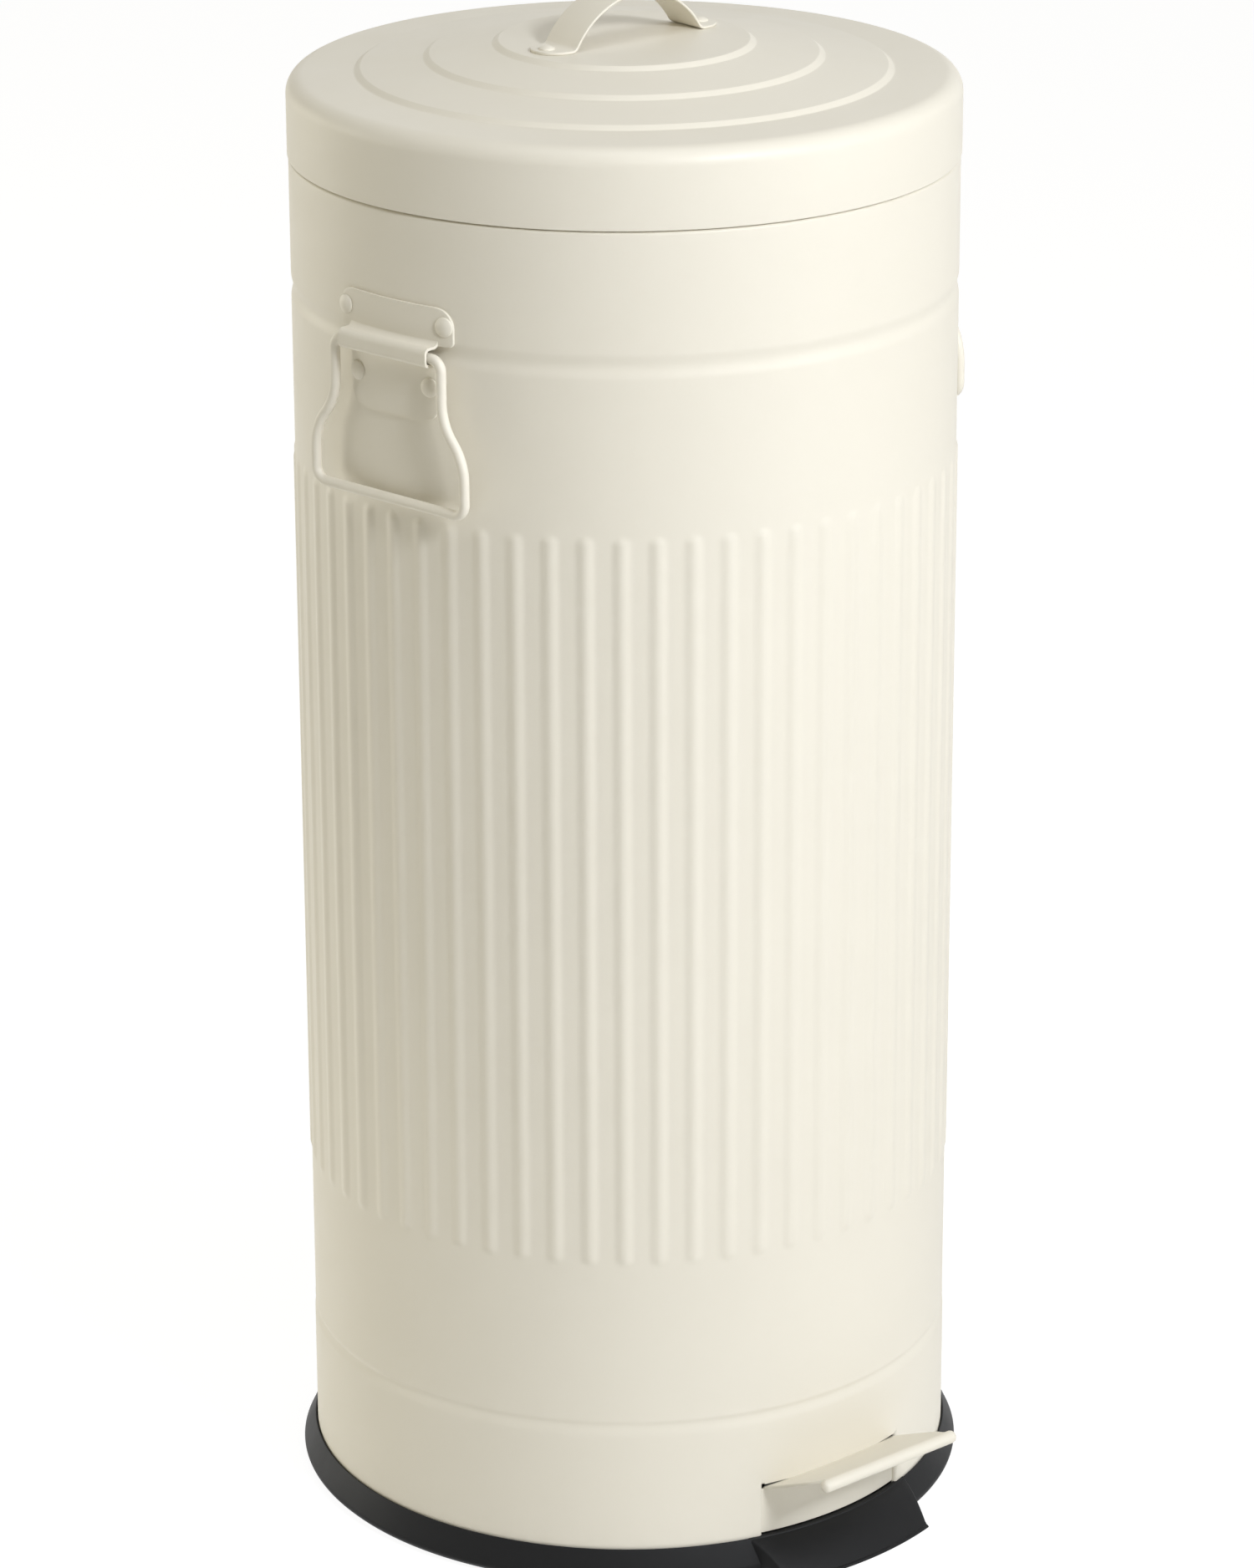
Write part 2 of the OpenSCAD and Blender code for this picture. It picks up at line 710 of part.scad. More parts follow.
module rod_guides() {
    tab_t = 2.5;
    foot_h = 20;
    edge = 3;
    front = rod_y - rod_d / 2 - edge;
    color(steel) for (i = [0:guide_count - 1]) difference() {
        intersection() {
            union() {
                ring(front - edge, inner_r - loose, guide_z + i * guide_step,
                    guide_z + i * guide_step + tab_t);
                ring(inner_r - loose - 1.5, inner_r - loose, guide_z + i * guide_step,
                    guide_z + i * guide_step + foot_h);
            }
            translate([-guide_w / 2, front, 0]) cube([guide_w, body_r, cap_z]);
        }
        translate([0, rod_y, 0]) cylinder(r = rod_d / 2 + running, h = cap_z);
    }
}

// Lid hinge

bracket_rivet_turn = asin((bracket_w / 2 - hinge_margin) / body_r);
bracket_rivet_low = hinge_z - bracket_drop;
bracket_rivet_high = bracket_rivet_low + bracket_pitch;
leaf_rivet_turn = asin((leaf_w / 2 - hinge_margin) / body_r);
leaf_rivet_low = lid_low + leaf_rise;
leaf_rivet_high = leaf_rivet_low + leaf_pitch;

module hinge_bracket() {
    plate_r = body_r + seat;
    low = bracket_rivet_low - hinge_margin;
    high = bracket_rivet_high + 1.5 * hinge_margin;
    link_x = mid_knuckle_w / 2 + knuckle_gap + side_knuckle_w / 2;
    color(cream) difference() {
        union() {
            intersection() {
                ring(plate_r, plate_r + hinge_t, low, high);
                translate([-bracket_w / 2, 0, low]) cube([bracket_w, body_r * 2, high - low]);
            }
            difference() {
                for (s = [-1, 1]) translate([s * link_x, 0, 0]) {
                    across_back([[plate_r - 4, high - 2 * hinge_margin],
                        [plate_r + hinge_t, high - 2 * hinge_margin],
                        [hinge_y + knuckle_d * 0.45, hinge_z - knuckle_d * 0.2],
                        [hinge_y - knuckle_d / 2, hinge_z], [plate_r - 4, high - 2]],
                        side_knuckle_w);
                    translate([0, hinge_y, hinge_z]) x_rod(knuckle_d / 2, side_knuckle_w);
                }
                cylinder(r = plate_r + hinge_t / 3, h = 2 * hinge_z);
            }
        }
        translate([0, hinge_y, hinge_z]) x_rod(hinge_pin_d / 2 + running, 2 * pin_reach + 2 * over);
        at_rear_rivets(bracket_rivet_turn, plate_r, bracket_rivet_low, bracket_rivet_high)
            rivet_hole(20);
    }
}

module hinge_bracket_rivets() {
    color(cream) at_rear_rivets(bracket_rivet_turn, body_r + 2 * seat + hinge_t,
        bracket_rivet_low, bracket_rivet_high)
        rivet(small_head_d, small_head_h, hinge_t + sheet_t + 4 * seat);
}

module hinge_pin() {
    head_t = 1.2;
    color(steel) translate([0, hinge_y, hinge_z]) {
        x_rod(hinge_pin_d / 2, 2 * pin_reach + 0.4);
        for (s = [-1, 1]) translate([s * (pin_reach + seat + head_t / 2), 0, 0])
            x_rod(hinge_pin_d * 0.7, head_t);
    }
}

module hinge_leaf() {
    plate_r = lid_r + seat;
    low = leaf_rivet_low - hinge_margin * 0.7;
    high = leaf_rivet_high + hinge_margin * 0.9;
    strip_w = mid_knuckle_w;
    color(cream) difference() {
        union() {
            intersection() {
                ring(plate_r, plate_r + hinge_t, low, high);
                translate([-leaf_w / 2, 0, low]) cube([leaf_w, body_r * 2, high - low]);
            }
            across_back([[plate_r + 0.2, low + 4], [plate_r + hinge_t, low + 4],
                [hinge_y + knuckle_d * 0.2, hinge_z + knuckle_d * 0.4],
                [hinge_y - knuckle_d * 0.45, hinge_z]], strip_w);
            translate([0, hinge_y, hinge_z]) {
                x_rod(knuckle_d / 2, mid_knuckle_w);
                rotate([lid_open / 2, 0, 0]) {
                    translate([-arm_w / 2, -arm_len, -arm_t / 2]) cube([arm_w, arm_len, arm_t]);
                    translate([0, -arm_len, 0]) x_rod(arm_t / 2 - joint_step, arm_w - joint_step);
                }
            }
        }
        translate([0, hinge_y, hinge_z]) x_rod(hinge_pin_d / 2 + running, mid_knuckle_w + 2 * over);
        at_rear_rivets(leaf_rivet_turn, plate_r, leaf_rivet_low, leaf_rivet_high) rivet_hole(20);
    }
}

module hinge_leaf_rivets() {
    color(cream) at_rear_rivets(leaf_rivet_turn, lid_r + 2 * seat + hinge_t,
        leaf_rivet_low, leaf_rivet_high)
        rivet(small_head_d, small_head_h, hinge_t + lid_t + 4 * seat);
}

// Side handles

// Right half of the outline of the handle bracket, from its lower to its upper edge
function bracket_half(pivot) = let (r = plate_corner * 0.8, step = bail_d) concat(
    arc(channel_w / 2 - r, pivot - plate_low + r, r, r, -90, 0, 5),
    [[channel_w / 2, pivot + step]],
    arc(plate_w / 2 - 2, pivot + step + 2, 2, 2, -90, 0, 3),
    arc(plate_w / 2 - plate_corner, pivot + plate_top - plate_corner, plate_corner, plate_corner,
        0, 90, 5));

module handle_bracket() {
    pivot = base_h + bail_z;
    plate_r = body_r + seat;
    wire_r_in = bail_d / 2 + 2 * running;
    wire_y = -body_r - bail_out;
    outer_h = 2 * (wire_r_in + plate_t) - 0.2;
    half = bracket_half(pivot);
    color(cream) difference() {
        union() {
            intersection() {
                ring(plate_r, plate_r + plate_t, pivot - plate_low - over, pivot + plate_top + over);
                rotate([90, 0, 0]) linear_extrude(2 * body_r)
                    polygon(concat(half, reversed([for (p = half) [-p[0], p[1]]])));
            }
            difference() {
                union() {
                    translate([-channel_w / 2, wire_y, pivot - outer_h / 2])
                        cube([channel_w, bail_out + 4, outer_h]);
                    translate([0, wire_y, pivot]) x_rod(wire_r_in + plate_t, channel_w);
                }
                cylinder(r = plate_r + plate_t / 3, h = pivot * 1.2);
            }
        }
        translate([-plate_w, wire_y, pivot - wire_r_in + 0.05])
            cube([2 * plate_w, 40, 2 * wire_r_in - 0.1]);
        translate([0, wire_y, pivot]) x_rod(wire_r_in, 2 * plate_w);
        at_handle_rivets() rivet_hole(20);
    }
}

module bracket_rivets() {
    color(cream) at_handle_rivets() translate([0, 0, seat])
        rivet(big_head_d, big_head_h, plate_t + sheet_t + 4 * seat);
}

module left_handle_bracket() {
    rotate([0, 0, -handle_turn]) handle_bracket();
}

module right_handle_bracket() {
    rotate([0, 0, handle_turn]) handle_bracket();
}

module left_bracket_rivets() {
    rotate([0, 0, -handle_turn]) bracket_rivets();
}

module right_bracket_rivets() {
    rotate([0, 0, handle_turn]) bracket_rivets();
}

// A bend of wire in the XZ plane round a centre, from angle a to angle a + turn
module bend(c, rad, a, turn, r) {
    translate([c[0], 0, c[1]]) rotate([90, 0, 0]) rotate([0, 0, a])
        rotate_extrude(angle = turn) translate([rad, 0]) circle(r = r);
}

// Both sides of the bail: corner, leg, double bend, side and lower corner
// Every second length is drawn a hair thinner and runs a little way in to its neighbours
module bail_side() {
    r = bail_d / 2;
    thin = r - joint_step;
    side = 8.7;
    run_x = bail_low_x - bail_top_x;
    run_z = bail_drop - bail_leg - side - low_bend;
    turn = 2 * atan2(run_x, run_z);
    flare = run_z / 2 / sin(turn);
    more = 180 * joint_run / (PI * flare);
    side_z = -bail_drop + low_bend;
    low_more = 180 * joint_run / (PI * low_bend);
    bend([bail_top_x - top_bend, -top_bend], top_bend, 0, 90, r);
    translate([bail_top_x, 0, -bail_leg - joint_run])
        cylinder(r = thin, h = bail_leg - top_bend + 2 * joint_run);
    bend([bail_top_x + flare, -bail_leg], flare, 180, turn, r);
    bend([bail_low_x - flare, side_z + side], flare, -more, turn + 2 * more, thin);
    translate([bail_low_x, 0, side_z]) cylinder(r = r, h = side);
    bend([bail_low_x - low_bend, side_z], low_bend, -90 - low_more, 90 + 2 * low_more, thin);
}

module bail() {
    r = bail_d / 2;
    color(cream) translate([0, -body_r - bail_out, base_h + bail_z]) {
        x_rod(r - joint_step, 2 * (bail_top_x - top_bend + joint_run));
        bail_side();
        mirror([1, 0, 0]) bail_side();
        translate([0, 0, -bail_drop]) x_rod(r, 2 * (bail_low_x - low_bend));
    }
}

module left_bail() {
    rotate([0, 0, -handle_turn]) bail();
}

module right_bail() {
    rotate([0, 0, handle_turn]) bail();
}

// Collar and buffers

module rim_collar() {
    color(black) difference() {
        rotate_extrude() polygon([[neck_r, neck_top + seat], [neck_r, collar_high],
            [collar_in, collar_high], [collar_in, ledge_z], [ledge_in, ledge_z],
            [ledge_in, ledge_z - collar_t - ledge_lip],
            [ledge_in + collar_t, ledge_z - collar_t - ledge_lip],
            [ledge_in + collar_t, ledge_z - collar_t], [collar_r, ledge_z - collar_t],
            [collar_r, neck_top + seat]]);
        at_buffers() cylinder(d = buffer_d / 2 + 2 * seat, h = 2.4 * collar_top, center = true);
    }
}

module at_buffers() {
    for (i = [0:buffer_count - 1]) rotate([0, 0, 180 / buffer_count + i * 360 / buffer_count])
        translate([0, -buffer_r, collar_high]) children();
}

// Height of the underside of the lid above the collar, at the buffers
buffer_x = max(0, buffer_r + buffer_d / 2 - (lid_r - lid_edge_r));
buffer_lid_r = lid_edge_r - lid_t;
buffer_h = lid_edge_z - lid_edge_r + sqrt(buffer_lid_r * buffer_lid_r - buffer_x * buffer_x)
    - collar_high - loose - seat;

module lid_buffers() {
    color(rubber) at_buffers() translate([0, 0, seat]) rotate_extrude()
        polygon(concat([[0, -collar_top], [buffer_d / 4, -collar_top], [buffer_d / 4, 0],
            [buffer_d / 2, 0]], arc(0, buffer_h - 1.5, buffer_d / 2, 1.5, 0, 75, 4),
            [[0, buffer_h]]));
}

// Lid

module lid_shell() {
    hem_h = 2.5;
    color(cream) difference() {
        rotate_extrude() polygon(concat(lid_line(0), reversed(lid_line(lid_t))));
        at_strap_rivets() rivet_hole(20);
        at_rear_rivets(leaf_rivet_turn, lid_r, leaf_rivet_low, leaf_rivet_high) rivet_hole(20);
    }
    color(cream) ring(lid_r - 2 * lid_t, lid_r - lid_t / 2, lid_low, lid_low + hem_h);
}

module at_strap_rivets() {
    for (s = [-1, 1]) translate([s * strap_rivet_x, 0, lid_flat_z + 2 * seat + strap_t]) children();
}

module lid_strap_handle() {
    seat_z = lid_flat_z + seat;
    arch_z = seat_z + arch_rise - arch_r;
    color(cream) difference() {
        intersection() {
            union() {
                difference() {
                    translate([0, 0, arch_z]) rotate([90, 0, 0])
                        cylinder(r = arch_r, h = strap_w, center = true, $fn = 120);
                    translate([0, 0, arch_z]) rotate([90, 0, 0])
                        cylinder(r = arch_r - strap_t, h = strap_w + 2 * over, center = true,
                            $fn = 120);
                }
                for (s = [-1, 1]) translate([s * (foot_x() + strap_tip_x) / 2, 0, seat_z + strap_t / 2])
                    cube([strap_tip_x - foot_x(), strap_w, strap_t], center = true);
            }
            translate([0, 0, seat_z]) linear_extrude(2 * arch_rise) intersection() {
                square([2 * strap_tip_x, strap_w], center = true);
                union() {
                    square([2 * (strap_tip_x - strap_w / 2), strap_w + 2], center = true);
                    for (s = [-1, 1]) translate([s * (strap_tip_x - strap_w / 2), 0])
                        circle(d = strap_w);
                }
            }
        }
        at_strap_rivets() rivet_hole(20);
    }
}

// Distance from the centre to the foot of the arch
function foot_x() = sqrt(pow(arch_r - strap_t, 2) - pow(arch_r - arch_rise, 2));

module strap_rivets() {
    color(cream) at_strap_rivets() rivet(small_head_d, small_head_h, strap_t + lid_t + 4 * seat);
}

// Bucket

module bucket() {
    corner = 4;
    ear_w = 4;
    color(grey) {
        rotate_extrude() polygon([[0, bucket_z], [bucket_low_r - corner, bucket_z],
            [bucket_low_r, bucket_z + corner], [bucket_r, rim_z], [rim_r, rim_z], [rim_r, rim_top],
            [bucket_r - bucket_t, rim_top], [bucket_low_r - bucket_t, bucket_z + corner + bucket_t],
            [bucket_low_r - corner - bucket_t / 2, bucket_z + bucket_t], [0, bucket_z + bucket_t]]);
        for (s = [-1, 1]) difference() {
            translate([s * bucket_ear_x - ear_w / 2, -ear_len / 2, rim_top - over])
                cube([ear_w, ear_len, ear_h + over]);
            translate([s * bucket_ear_x, 0, wire_z]) x_rod(wire_d / 2 + running, ear_w + 2 * over);
        }
    }
}

module bucket_bail() {
    r = wire_d / 2;
    hook = 4;
    lag = asin(hook / (wire_r - hook));
    hook_x = (wire_r - hook) * cos(lag);
    end_x = bucket_ear_x - 3.2;
    more = 180 * joint_run / (PI * wire_r);
    color(steel) translate([0, 0, wire_z]) {
        rotate([0, 0, 180 + lag - more]) rotate_extrude(angle = 180 - 2 * lag + 2 * more)
            translate([wire_r, 0]) circle(r = r - joint_step);
        for (s = [-1, 1]) {
            translate([s * hook_x, -hook, 0]) rotate([0, 0, s > 0 ? -lag : 90])
                rotate_extrude(angle = 90 + lag) translate([hook, 0]) circle(r = r);
            translate([s * (hook_x + joint_run + end_x) / 2, 0, 0])
                x_rod(r - joint_step, hook_x + joint_run - end_x);
        }
    }
}

body_shell();
base_moulding();
foot_ring();
fulcrum_bracket();
fulcrum_pin();
bracket_screws();
rod_guides();
hinge_bracket();
hinge_bracket_rivets();
hinge_pin();
left_handle_bracket();
left_bracket_rivets();
right_handle_bracket();
right_bracket_rivets();
rim_collar();
lid_buffers();
lid_shell();
lid_strap_handle();
strap_rivets();
hinge_leaf();
hinge_leaf_rivets();
pedal_tread();
pedal_lever();
push_rod();
rod_cap();
left_bail();
right_bail();
bucket();
bucket_bail();
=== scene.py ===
import math

import bpy
import numpy as np
from mathutils import Matrix, Vector


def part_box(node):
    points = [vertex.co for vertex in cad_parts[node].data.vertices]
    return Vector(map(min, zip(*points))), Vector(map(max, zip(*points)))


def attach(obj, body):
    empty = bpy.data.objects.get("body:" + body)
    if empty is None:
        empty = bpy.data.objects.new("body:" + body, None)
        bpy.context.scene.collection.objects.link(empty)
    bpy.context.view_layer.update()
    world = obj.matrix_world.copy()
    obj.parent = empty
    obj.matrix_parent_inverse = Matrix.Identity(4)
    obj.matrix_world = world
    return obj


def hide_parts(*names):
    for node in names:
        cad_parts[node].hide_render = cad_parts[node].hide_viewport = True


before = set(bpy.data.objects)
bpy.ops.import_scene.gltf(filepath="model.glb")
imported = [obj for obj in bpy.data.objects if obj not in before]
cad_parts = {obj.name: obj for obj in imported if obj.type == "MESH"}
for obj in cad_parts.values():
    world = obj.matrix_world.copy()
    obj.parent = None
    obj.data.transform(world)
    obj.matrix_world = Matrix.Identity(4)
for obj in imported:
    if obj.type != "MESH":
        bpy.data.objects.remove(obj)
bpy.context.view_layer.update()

MM_PER_M = 1000
LOW, TOP = 0, 1


def level(node, end):
    """Height of a CAD node's lowest or highest point, in millimetres."""
    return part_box(node)[end][2] * MM_PER_M


# HAIR is too short to see, and faces that reach the axis end at AXIS_R
HAIR = 0.01
AXIS_R = 0.02

# Main sizes in millimetres; the heights come from the CAD nodes
BODY_R = 146.0
SHEET = 1.0
WIRE_R = 2.25
WALL_LOW = level("body_shell", LOW)
NECK_TOP = level("body_shell", TOP)
EDGE_Z = level("base_moulding", LOW) + 15.7
SHOULDER_Z = NECK_TOP - 26.0
LID_FLAT = level("lid_shell", TOP)
LID_EDGE = LID_FLAT - 14.1
LID_R = BODY_R + 0.5
NECK_R = BODY_R - 4.7
PIVOT_Z = level("left_bail", TOP) - WIRE_R
BAIL_R = BODY_R + 3.3
HANDLE_TURN = 82.0

# The pressed pattern of the wall; the lower groove fades out faster upwards than downwards
RIBS = 60
RIB_TURN = 1.25
RIB_HALF = 4.9
RIB_RISE = 0.85
RIB_LOW = EDGE_Z + 137.3
RIB_TOP = EDGE_Z + 474.4
UPPER_GROOVE = EDGE_Z + 547.0
UPPER_HALF = 5.8
UPPER_DEPTH = 0.95
LOWER_GROOVE = EDGE_Z + 61.5
LOWER_DEEPEST = 1.2
LOWER_ABOVE = 2.6
LOWER_BELOW = 5.2
LOWER_DEPTH = 0.65
FLARE = 0.35
FLARE_TOP = LOWER_GROOVE - 4.4
FLARE_FADE = 9.0

# The pedal, the opening for it and the slot for the lid's arm
TILT = math.radians(24.6)
SLOPE = math.tan(TILT)
WINDOW_X = 40.2
WINDOW_TURN = math.degrees(math.asin(WINDOW_X / BODY_R))
WINDOW_CLOSED = 9.9
WINDOW_GAP = 1.4
WINDOW_ROUND = 1.6
WINDOW_ROW = 0.8
ROOT_Y = math.sqrt(BODY_R ** 2 - WINDOW_X ** 2)
TREAD_Z = EDGE_Z + 23.7
TREAD_T = 1.5
SLOT_TURN = 2.36
SLOT_LOW = EDGE_Z + 571.7
SLOT_TOP = SLOT_LOW + 27.6


# Mesh tools
def smooth(t):
    """0 below t = 0, 1 above t = 1, with an even S between."""
    t = np.clip(t, 0, 1)
    return t * t * (3 - 2 * t)


def bell(t):
    """A smooth hill, 1 high at t = 0 and 0 from t = 1 on, both ways."""
    return 0.5 * (1 + np.cos(math.pi * np.clip(np.abs(t), 0, 1)))


def evenly(line, n):
    """The same line with n points at even distances along it."""
    line = np.asarray(line, float)
    along = np.concatenate([[0], np.cumsum(np.linalg.norm(np.diff(line, axis=0), axis=1))])
    want = np.linspace(0, along[-1], n)
    return np.stack([np.interp(want, along, line[:, k]) for k in range(line.shape[1])], -1)


def rounded_corner(p, a, b, r, step):
    """Points of the arc that rounds the corner p between its neighbours a and b."""
    u, w = a - p, b - p
    long_u, long_w = np.linalg.norm(u), np.linalg.norm(w)
    if r <= 0 or long_u < 1e-9 or long_w < 1e-9:
        return [p]
    u, w = u / long_u, w / long_w
    half = math.acos(max(-1, min(1, float(u @ w)))) / 2
    if half > math.pi / 2 - 1e-3:
        return [p]
    cut = min(r / math.tan(half), long_u * 0.49, long_w * 0.49)
    centre = p + (u + w) / np.linalg.norm(u + w) * cut / math.cos(half)
    start, end = p + u * cut - centre, p + w * cut - centre
    turn = math.atan2(start[0] * end[1] - start[1] * end[0], float(start @ end))
    n = max(2, int(abs(math.degrees(turn)) / step) + 1)
    return [centre + start * math.cos(t) + np.array([-start[1], start[0]]) * math.sin(t)
            for t in turn * np.arange(n + 1) / n]


def path(corners, step=8):
    """A line through (x, y, radius) corners, each rounded by its radius, in steps of some degrees."""
    pts = [np.array(c[:2], float) for c in corners]
    out = [pts[0]]
    for i in range(1, len(pts) - 1):
        r = corners[i][2] if len(corners[i]) > 2 else 0
        out += rounded_corner(pts[i], pts[i - 1], pts[i + 1], r, step)
    return np.array(out + [pts[-1]])


def arc(middle_x, middle_y, radius, start, end, n):
    """Points of a flat arc between two angles in radians, without its first point."""
    angles = np.linspace(start, end, n)[1:]
    return [(middle_x + radius * math.cos(a), middle_y + radius * math.sin(a)) for a in angles]


def bar(half, low, high, edge, cols=0):
    """Closed section of a flat bar with rounded edges, as points (across, up)."""
    edge = min(edge, half * 0.98, (high - low) * 0.49)
    flat = np.linspace(-1, 1, cols + 2)[1:-1] * (half - edge)
    loop = [(x, low) for x in flat]

    def corner(side, up, start):
        for a in np.radians(np.linspace(start, start + 90, 5)):
            loop.append((side * (half - edge) + edge * math.cos(a), up + edge * math.sin(a)))

    corner(1, low + edge, -90)
    corner(1, high - edge, 0)
    loop += [(x, high) for x in -flat]
    corner(-1, high - edge, 90)
    corner(-1, low + edge, 180)
    return np.array(loop)


def around(radius, turn, z):
    """Points at a radius, a turn from the front in degrees, and a height."""
    a = np.radians(turn)
    radius, a, z = np.broadcast_arrays(radius, a, z)
    return np.stack([radius * np.sin(a), -radius * np.cos(a), z], -1)


def spin(profile, n=256):
    """Points of a profile (r, z) turned round the axis."""
    p = np.asarray(profile, float)
    return around(p[None, :, 0], (np.arange(n) * 360 / n)[:, None], p[None, :, 1])


def turned(pts, turn):
    """Points turned about the axis of the bin."""
    c, s = math.cos(math.radians(turn)), math.sin(math.radians(turn))
    p = np.asarray(pts, float)
    return np.stack([p[..., 0] * c - p[..., 1] * s, p[..., 0] * s + p[..., 1] * c, p[..., 2]], -1)


def closed_ends(rows):
    """Rings of points with one more ring at each end, drawn together to a point."""
    first = rows[:1].mean(1, keepdims=True).repeat(rows.shape[1], 1)
    last = rows[-1:].mean(1, keepdims=True).repeat(rows.shape[1], 1)
    return np.concatenate([first, rows, last])


def ends_down(rows, low):
    """Rings of points with one more ring at each end, pressed flat at a height."""
    rows = np.asarray(rows, float)
    first, last = rows[:1].copy(), rows[-1:].copy()
    first[..., 2] = low
    last[..., 2] = low
    return np.concatenate([first, rows, last])


def tube(line, r, n=20, closed=False):
    """Rings of a round wire along a line of points; open wires get domed ends."""
    line = np.asarray(line, float)
    ahead = np.roll(line, -1, 0) - np.roll(line, 1, 0)
    if not closed:
        ahead[0] = line[1] - line[0]
        ahead[-1] = line[-1] - line[-2]
    ahead /= np.linalg.norm(ahead, axis=1)[:, None]
    side = np.cross(ahead[0], (0, 0, 1) if abs(ahead[0][2]) < 0.9 else (1, 0, 0))
    a = np.arange(n) * 2 * math.pi / n
    rings = []
    for here, t in zip(line, ahead):
        side = side - t * (side @ t)
        side /= np.linalg.norm(side)
        rings.append(here + r * (np.outer(np.cos(a), side) + np.outer(np.sin(a), np.cross(t, side))))
    if closed:
        return np.array(rings)
    domes = [(math.cos(b), math.sin(b)) for b in np.radians((25, 50, 75, 90))]
    head = [line[0] + (rings[0] - line[0]) * c - ahead[0] * r * 0.8 * s for c, s in domes[::-1]]
    tail = [line[-1] + (rings[-1] - line[-1]) * c + ahead[-1] * r * 0.8 * s for c, s in domes]
    return np.array(head + rings + tail)


def rivet_head(r, h, n=28):
    """A low domed head on the plane z = 0, with a short upright edge."""
    rim = 0.3 * h
    ball = (r * r + (h - rim) ** 2) / (2 * (h - rim))
    inner = r * 0.985 * np.linspace(1, 0, 9)
    cap = rim + np.sqrt(ball ** 2 - inner ** 2) - (ball - (h - rim))
    radius = np.concatenate([[r, r], inner])
    height = np.concatenate([[-0.3, rim * 0.6], cap])
    a = np.arange(n)[:, None] * 2 * math.pi / n
    return np.stack(np.broadcast_arrays(radius * np.cos(a), radius * np.sin(a), height), -1)


def placed(pts, origin, up):
    """Points of a local frame put at an origin, with its z axis along a direction."""
    z = np.array(up, float)
    z /= np.linalg.norm(z)
    x = np.array((1.0, 0, 0)) if abs(z[2]) > 0.9 else np.array((0, 0, 1.0))
    x = x - z * (x @ z)
    x /= np.linalg.norm(x)
    return np.array(origin, float) + pts[..., :1] * x + pts[..., 1:2] * np.cross(z, x) + pts[..., 2:3] * z


class Piece:
    """One mesh in millimetres, made of grids of points."""

    def __init__(self):
        self.points = []
        self.faces = []
        self.count = 0

    def grid(self, pts, wrap_u=False, wrap_v=False, skip=None, flip=False):
        """Adds the quads between neighbouring points; skip leaves some of them out."""
        pts = np.asarray(pts, float)
        nu, nv = pts.shape[:2]
        u, v = np.meshgrid(np.arange(nu if wrap_u else nu - 1), np.arange(nv if wrap_v else nv - 1),
                           indexing="ij")
        next_u, next_v = (u + 1) % nu, (v + 1) % nv
        quads = np.stack([u * nv + v, next_u * nv + v, next_u * nv + next_v, u * nv + next_v], -1)
        if skip is not None:
            quads = quads[~skip[:quads.shape[0], :quads.shape[1]]]
        quads = quads.reshape(-1, 4) + self.count
        self.points.append(pts.reshape(-1, 3))
        self.faces.append(quads[:, ::-1] if flip else quads)
        self.count += nu * nv

    def build(self, name, material, body, nodes=(), sharp=42):
        """Makes the mesh, lets it ride on a body and stand for CAD nodes."""
        co = np.concatenate(self.points) / MM_PER_M
        quads = np.concatenate(self.faces)
        mesh = bpy.data.meshes.new(name)
        mesh.vertices.add(len(co))
        mesh.vertices.foreach_set("co", co.ravel())
        mesh.loops.add(quads.size)
        mesh.loops.foreach_set("vertex_index", quads.ravel().astype(np.int32))
        mesh.polygons.add(len(quads))
        mesh.polygons.foreach_set("loop_start", np.arange(0, quads.size, 4, dtype=np.int32))
        mesh.update(calc_edges=True)
        mesh.validate()
        mesh.shade_smooth()
        mesh.set_sharp_from_angle(angle=math.radians(sharp))
        mesh.materials.append(material)
        ob = bpy.data.objects.new(name, mesh)
        bpy.context.scene.collection.objects.link(ob)
        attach(ob, body)
        if nodes:
            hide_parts(*nodes)
        return ob


def lathe(name, profile, material, body, nodes, n=256, closed=True):
    """A turned piece out of one profile (r, z)."""
    piece = Piece()
    piece.grid(spin(profile, n), wrap_u=True, wrap_v=closed)
    return piece.build(name, material, body, nodes)


# Materials; patterns in waves per metre, and lengths in metres
DRIFT_WAVES = 7.0
GLOSS_WAVES = 45.0
WEAR_WAVES = 60.0
WEAR_WIDTH = 0.0008
RELIEF_DEPTH = 0.0004
MIDDLE = (0.3, 0.7)


def noise(tree, place, scale, detail=3.0, rough=0.55):
    """A noise pattern; scale is in waves per metre."""
    node = tree.nodes.new("ShaderNodeTexNoise")
    node.inputs["Scale"].default_value = scale
    node.inputs["Detail"].default_value = detail
    node.inputs["Roughness"].default_value = rough
    tree.links.new(place, node.inputs["Vector"])
    return node.outputs["Fac"]


def remap(tree, value, source, target):
    """A value moved from one range to another."""
    node = tree.nodes.new("ShaderNodeMapRange")
    for socket, number in zip(("From Min", "From Max", "To Min", "To Max"), (*source, *target)):
        node.inputs[socket].default_value = number
    tree.links.new(value, node.inputs["Value"])
    return node.outputs["Result"]


def times(tree, a, b):
    """The product of two values."""
    node = tree.nodes.new("ShaderNodeMath")
    node.operation = "MULTIPLY"
    tree.links.new(a, node.inputs[0])
    tree.links.new(b, node.inputs[1])
    return node.outputs[0]


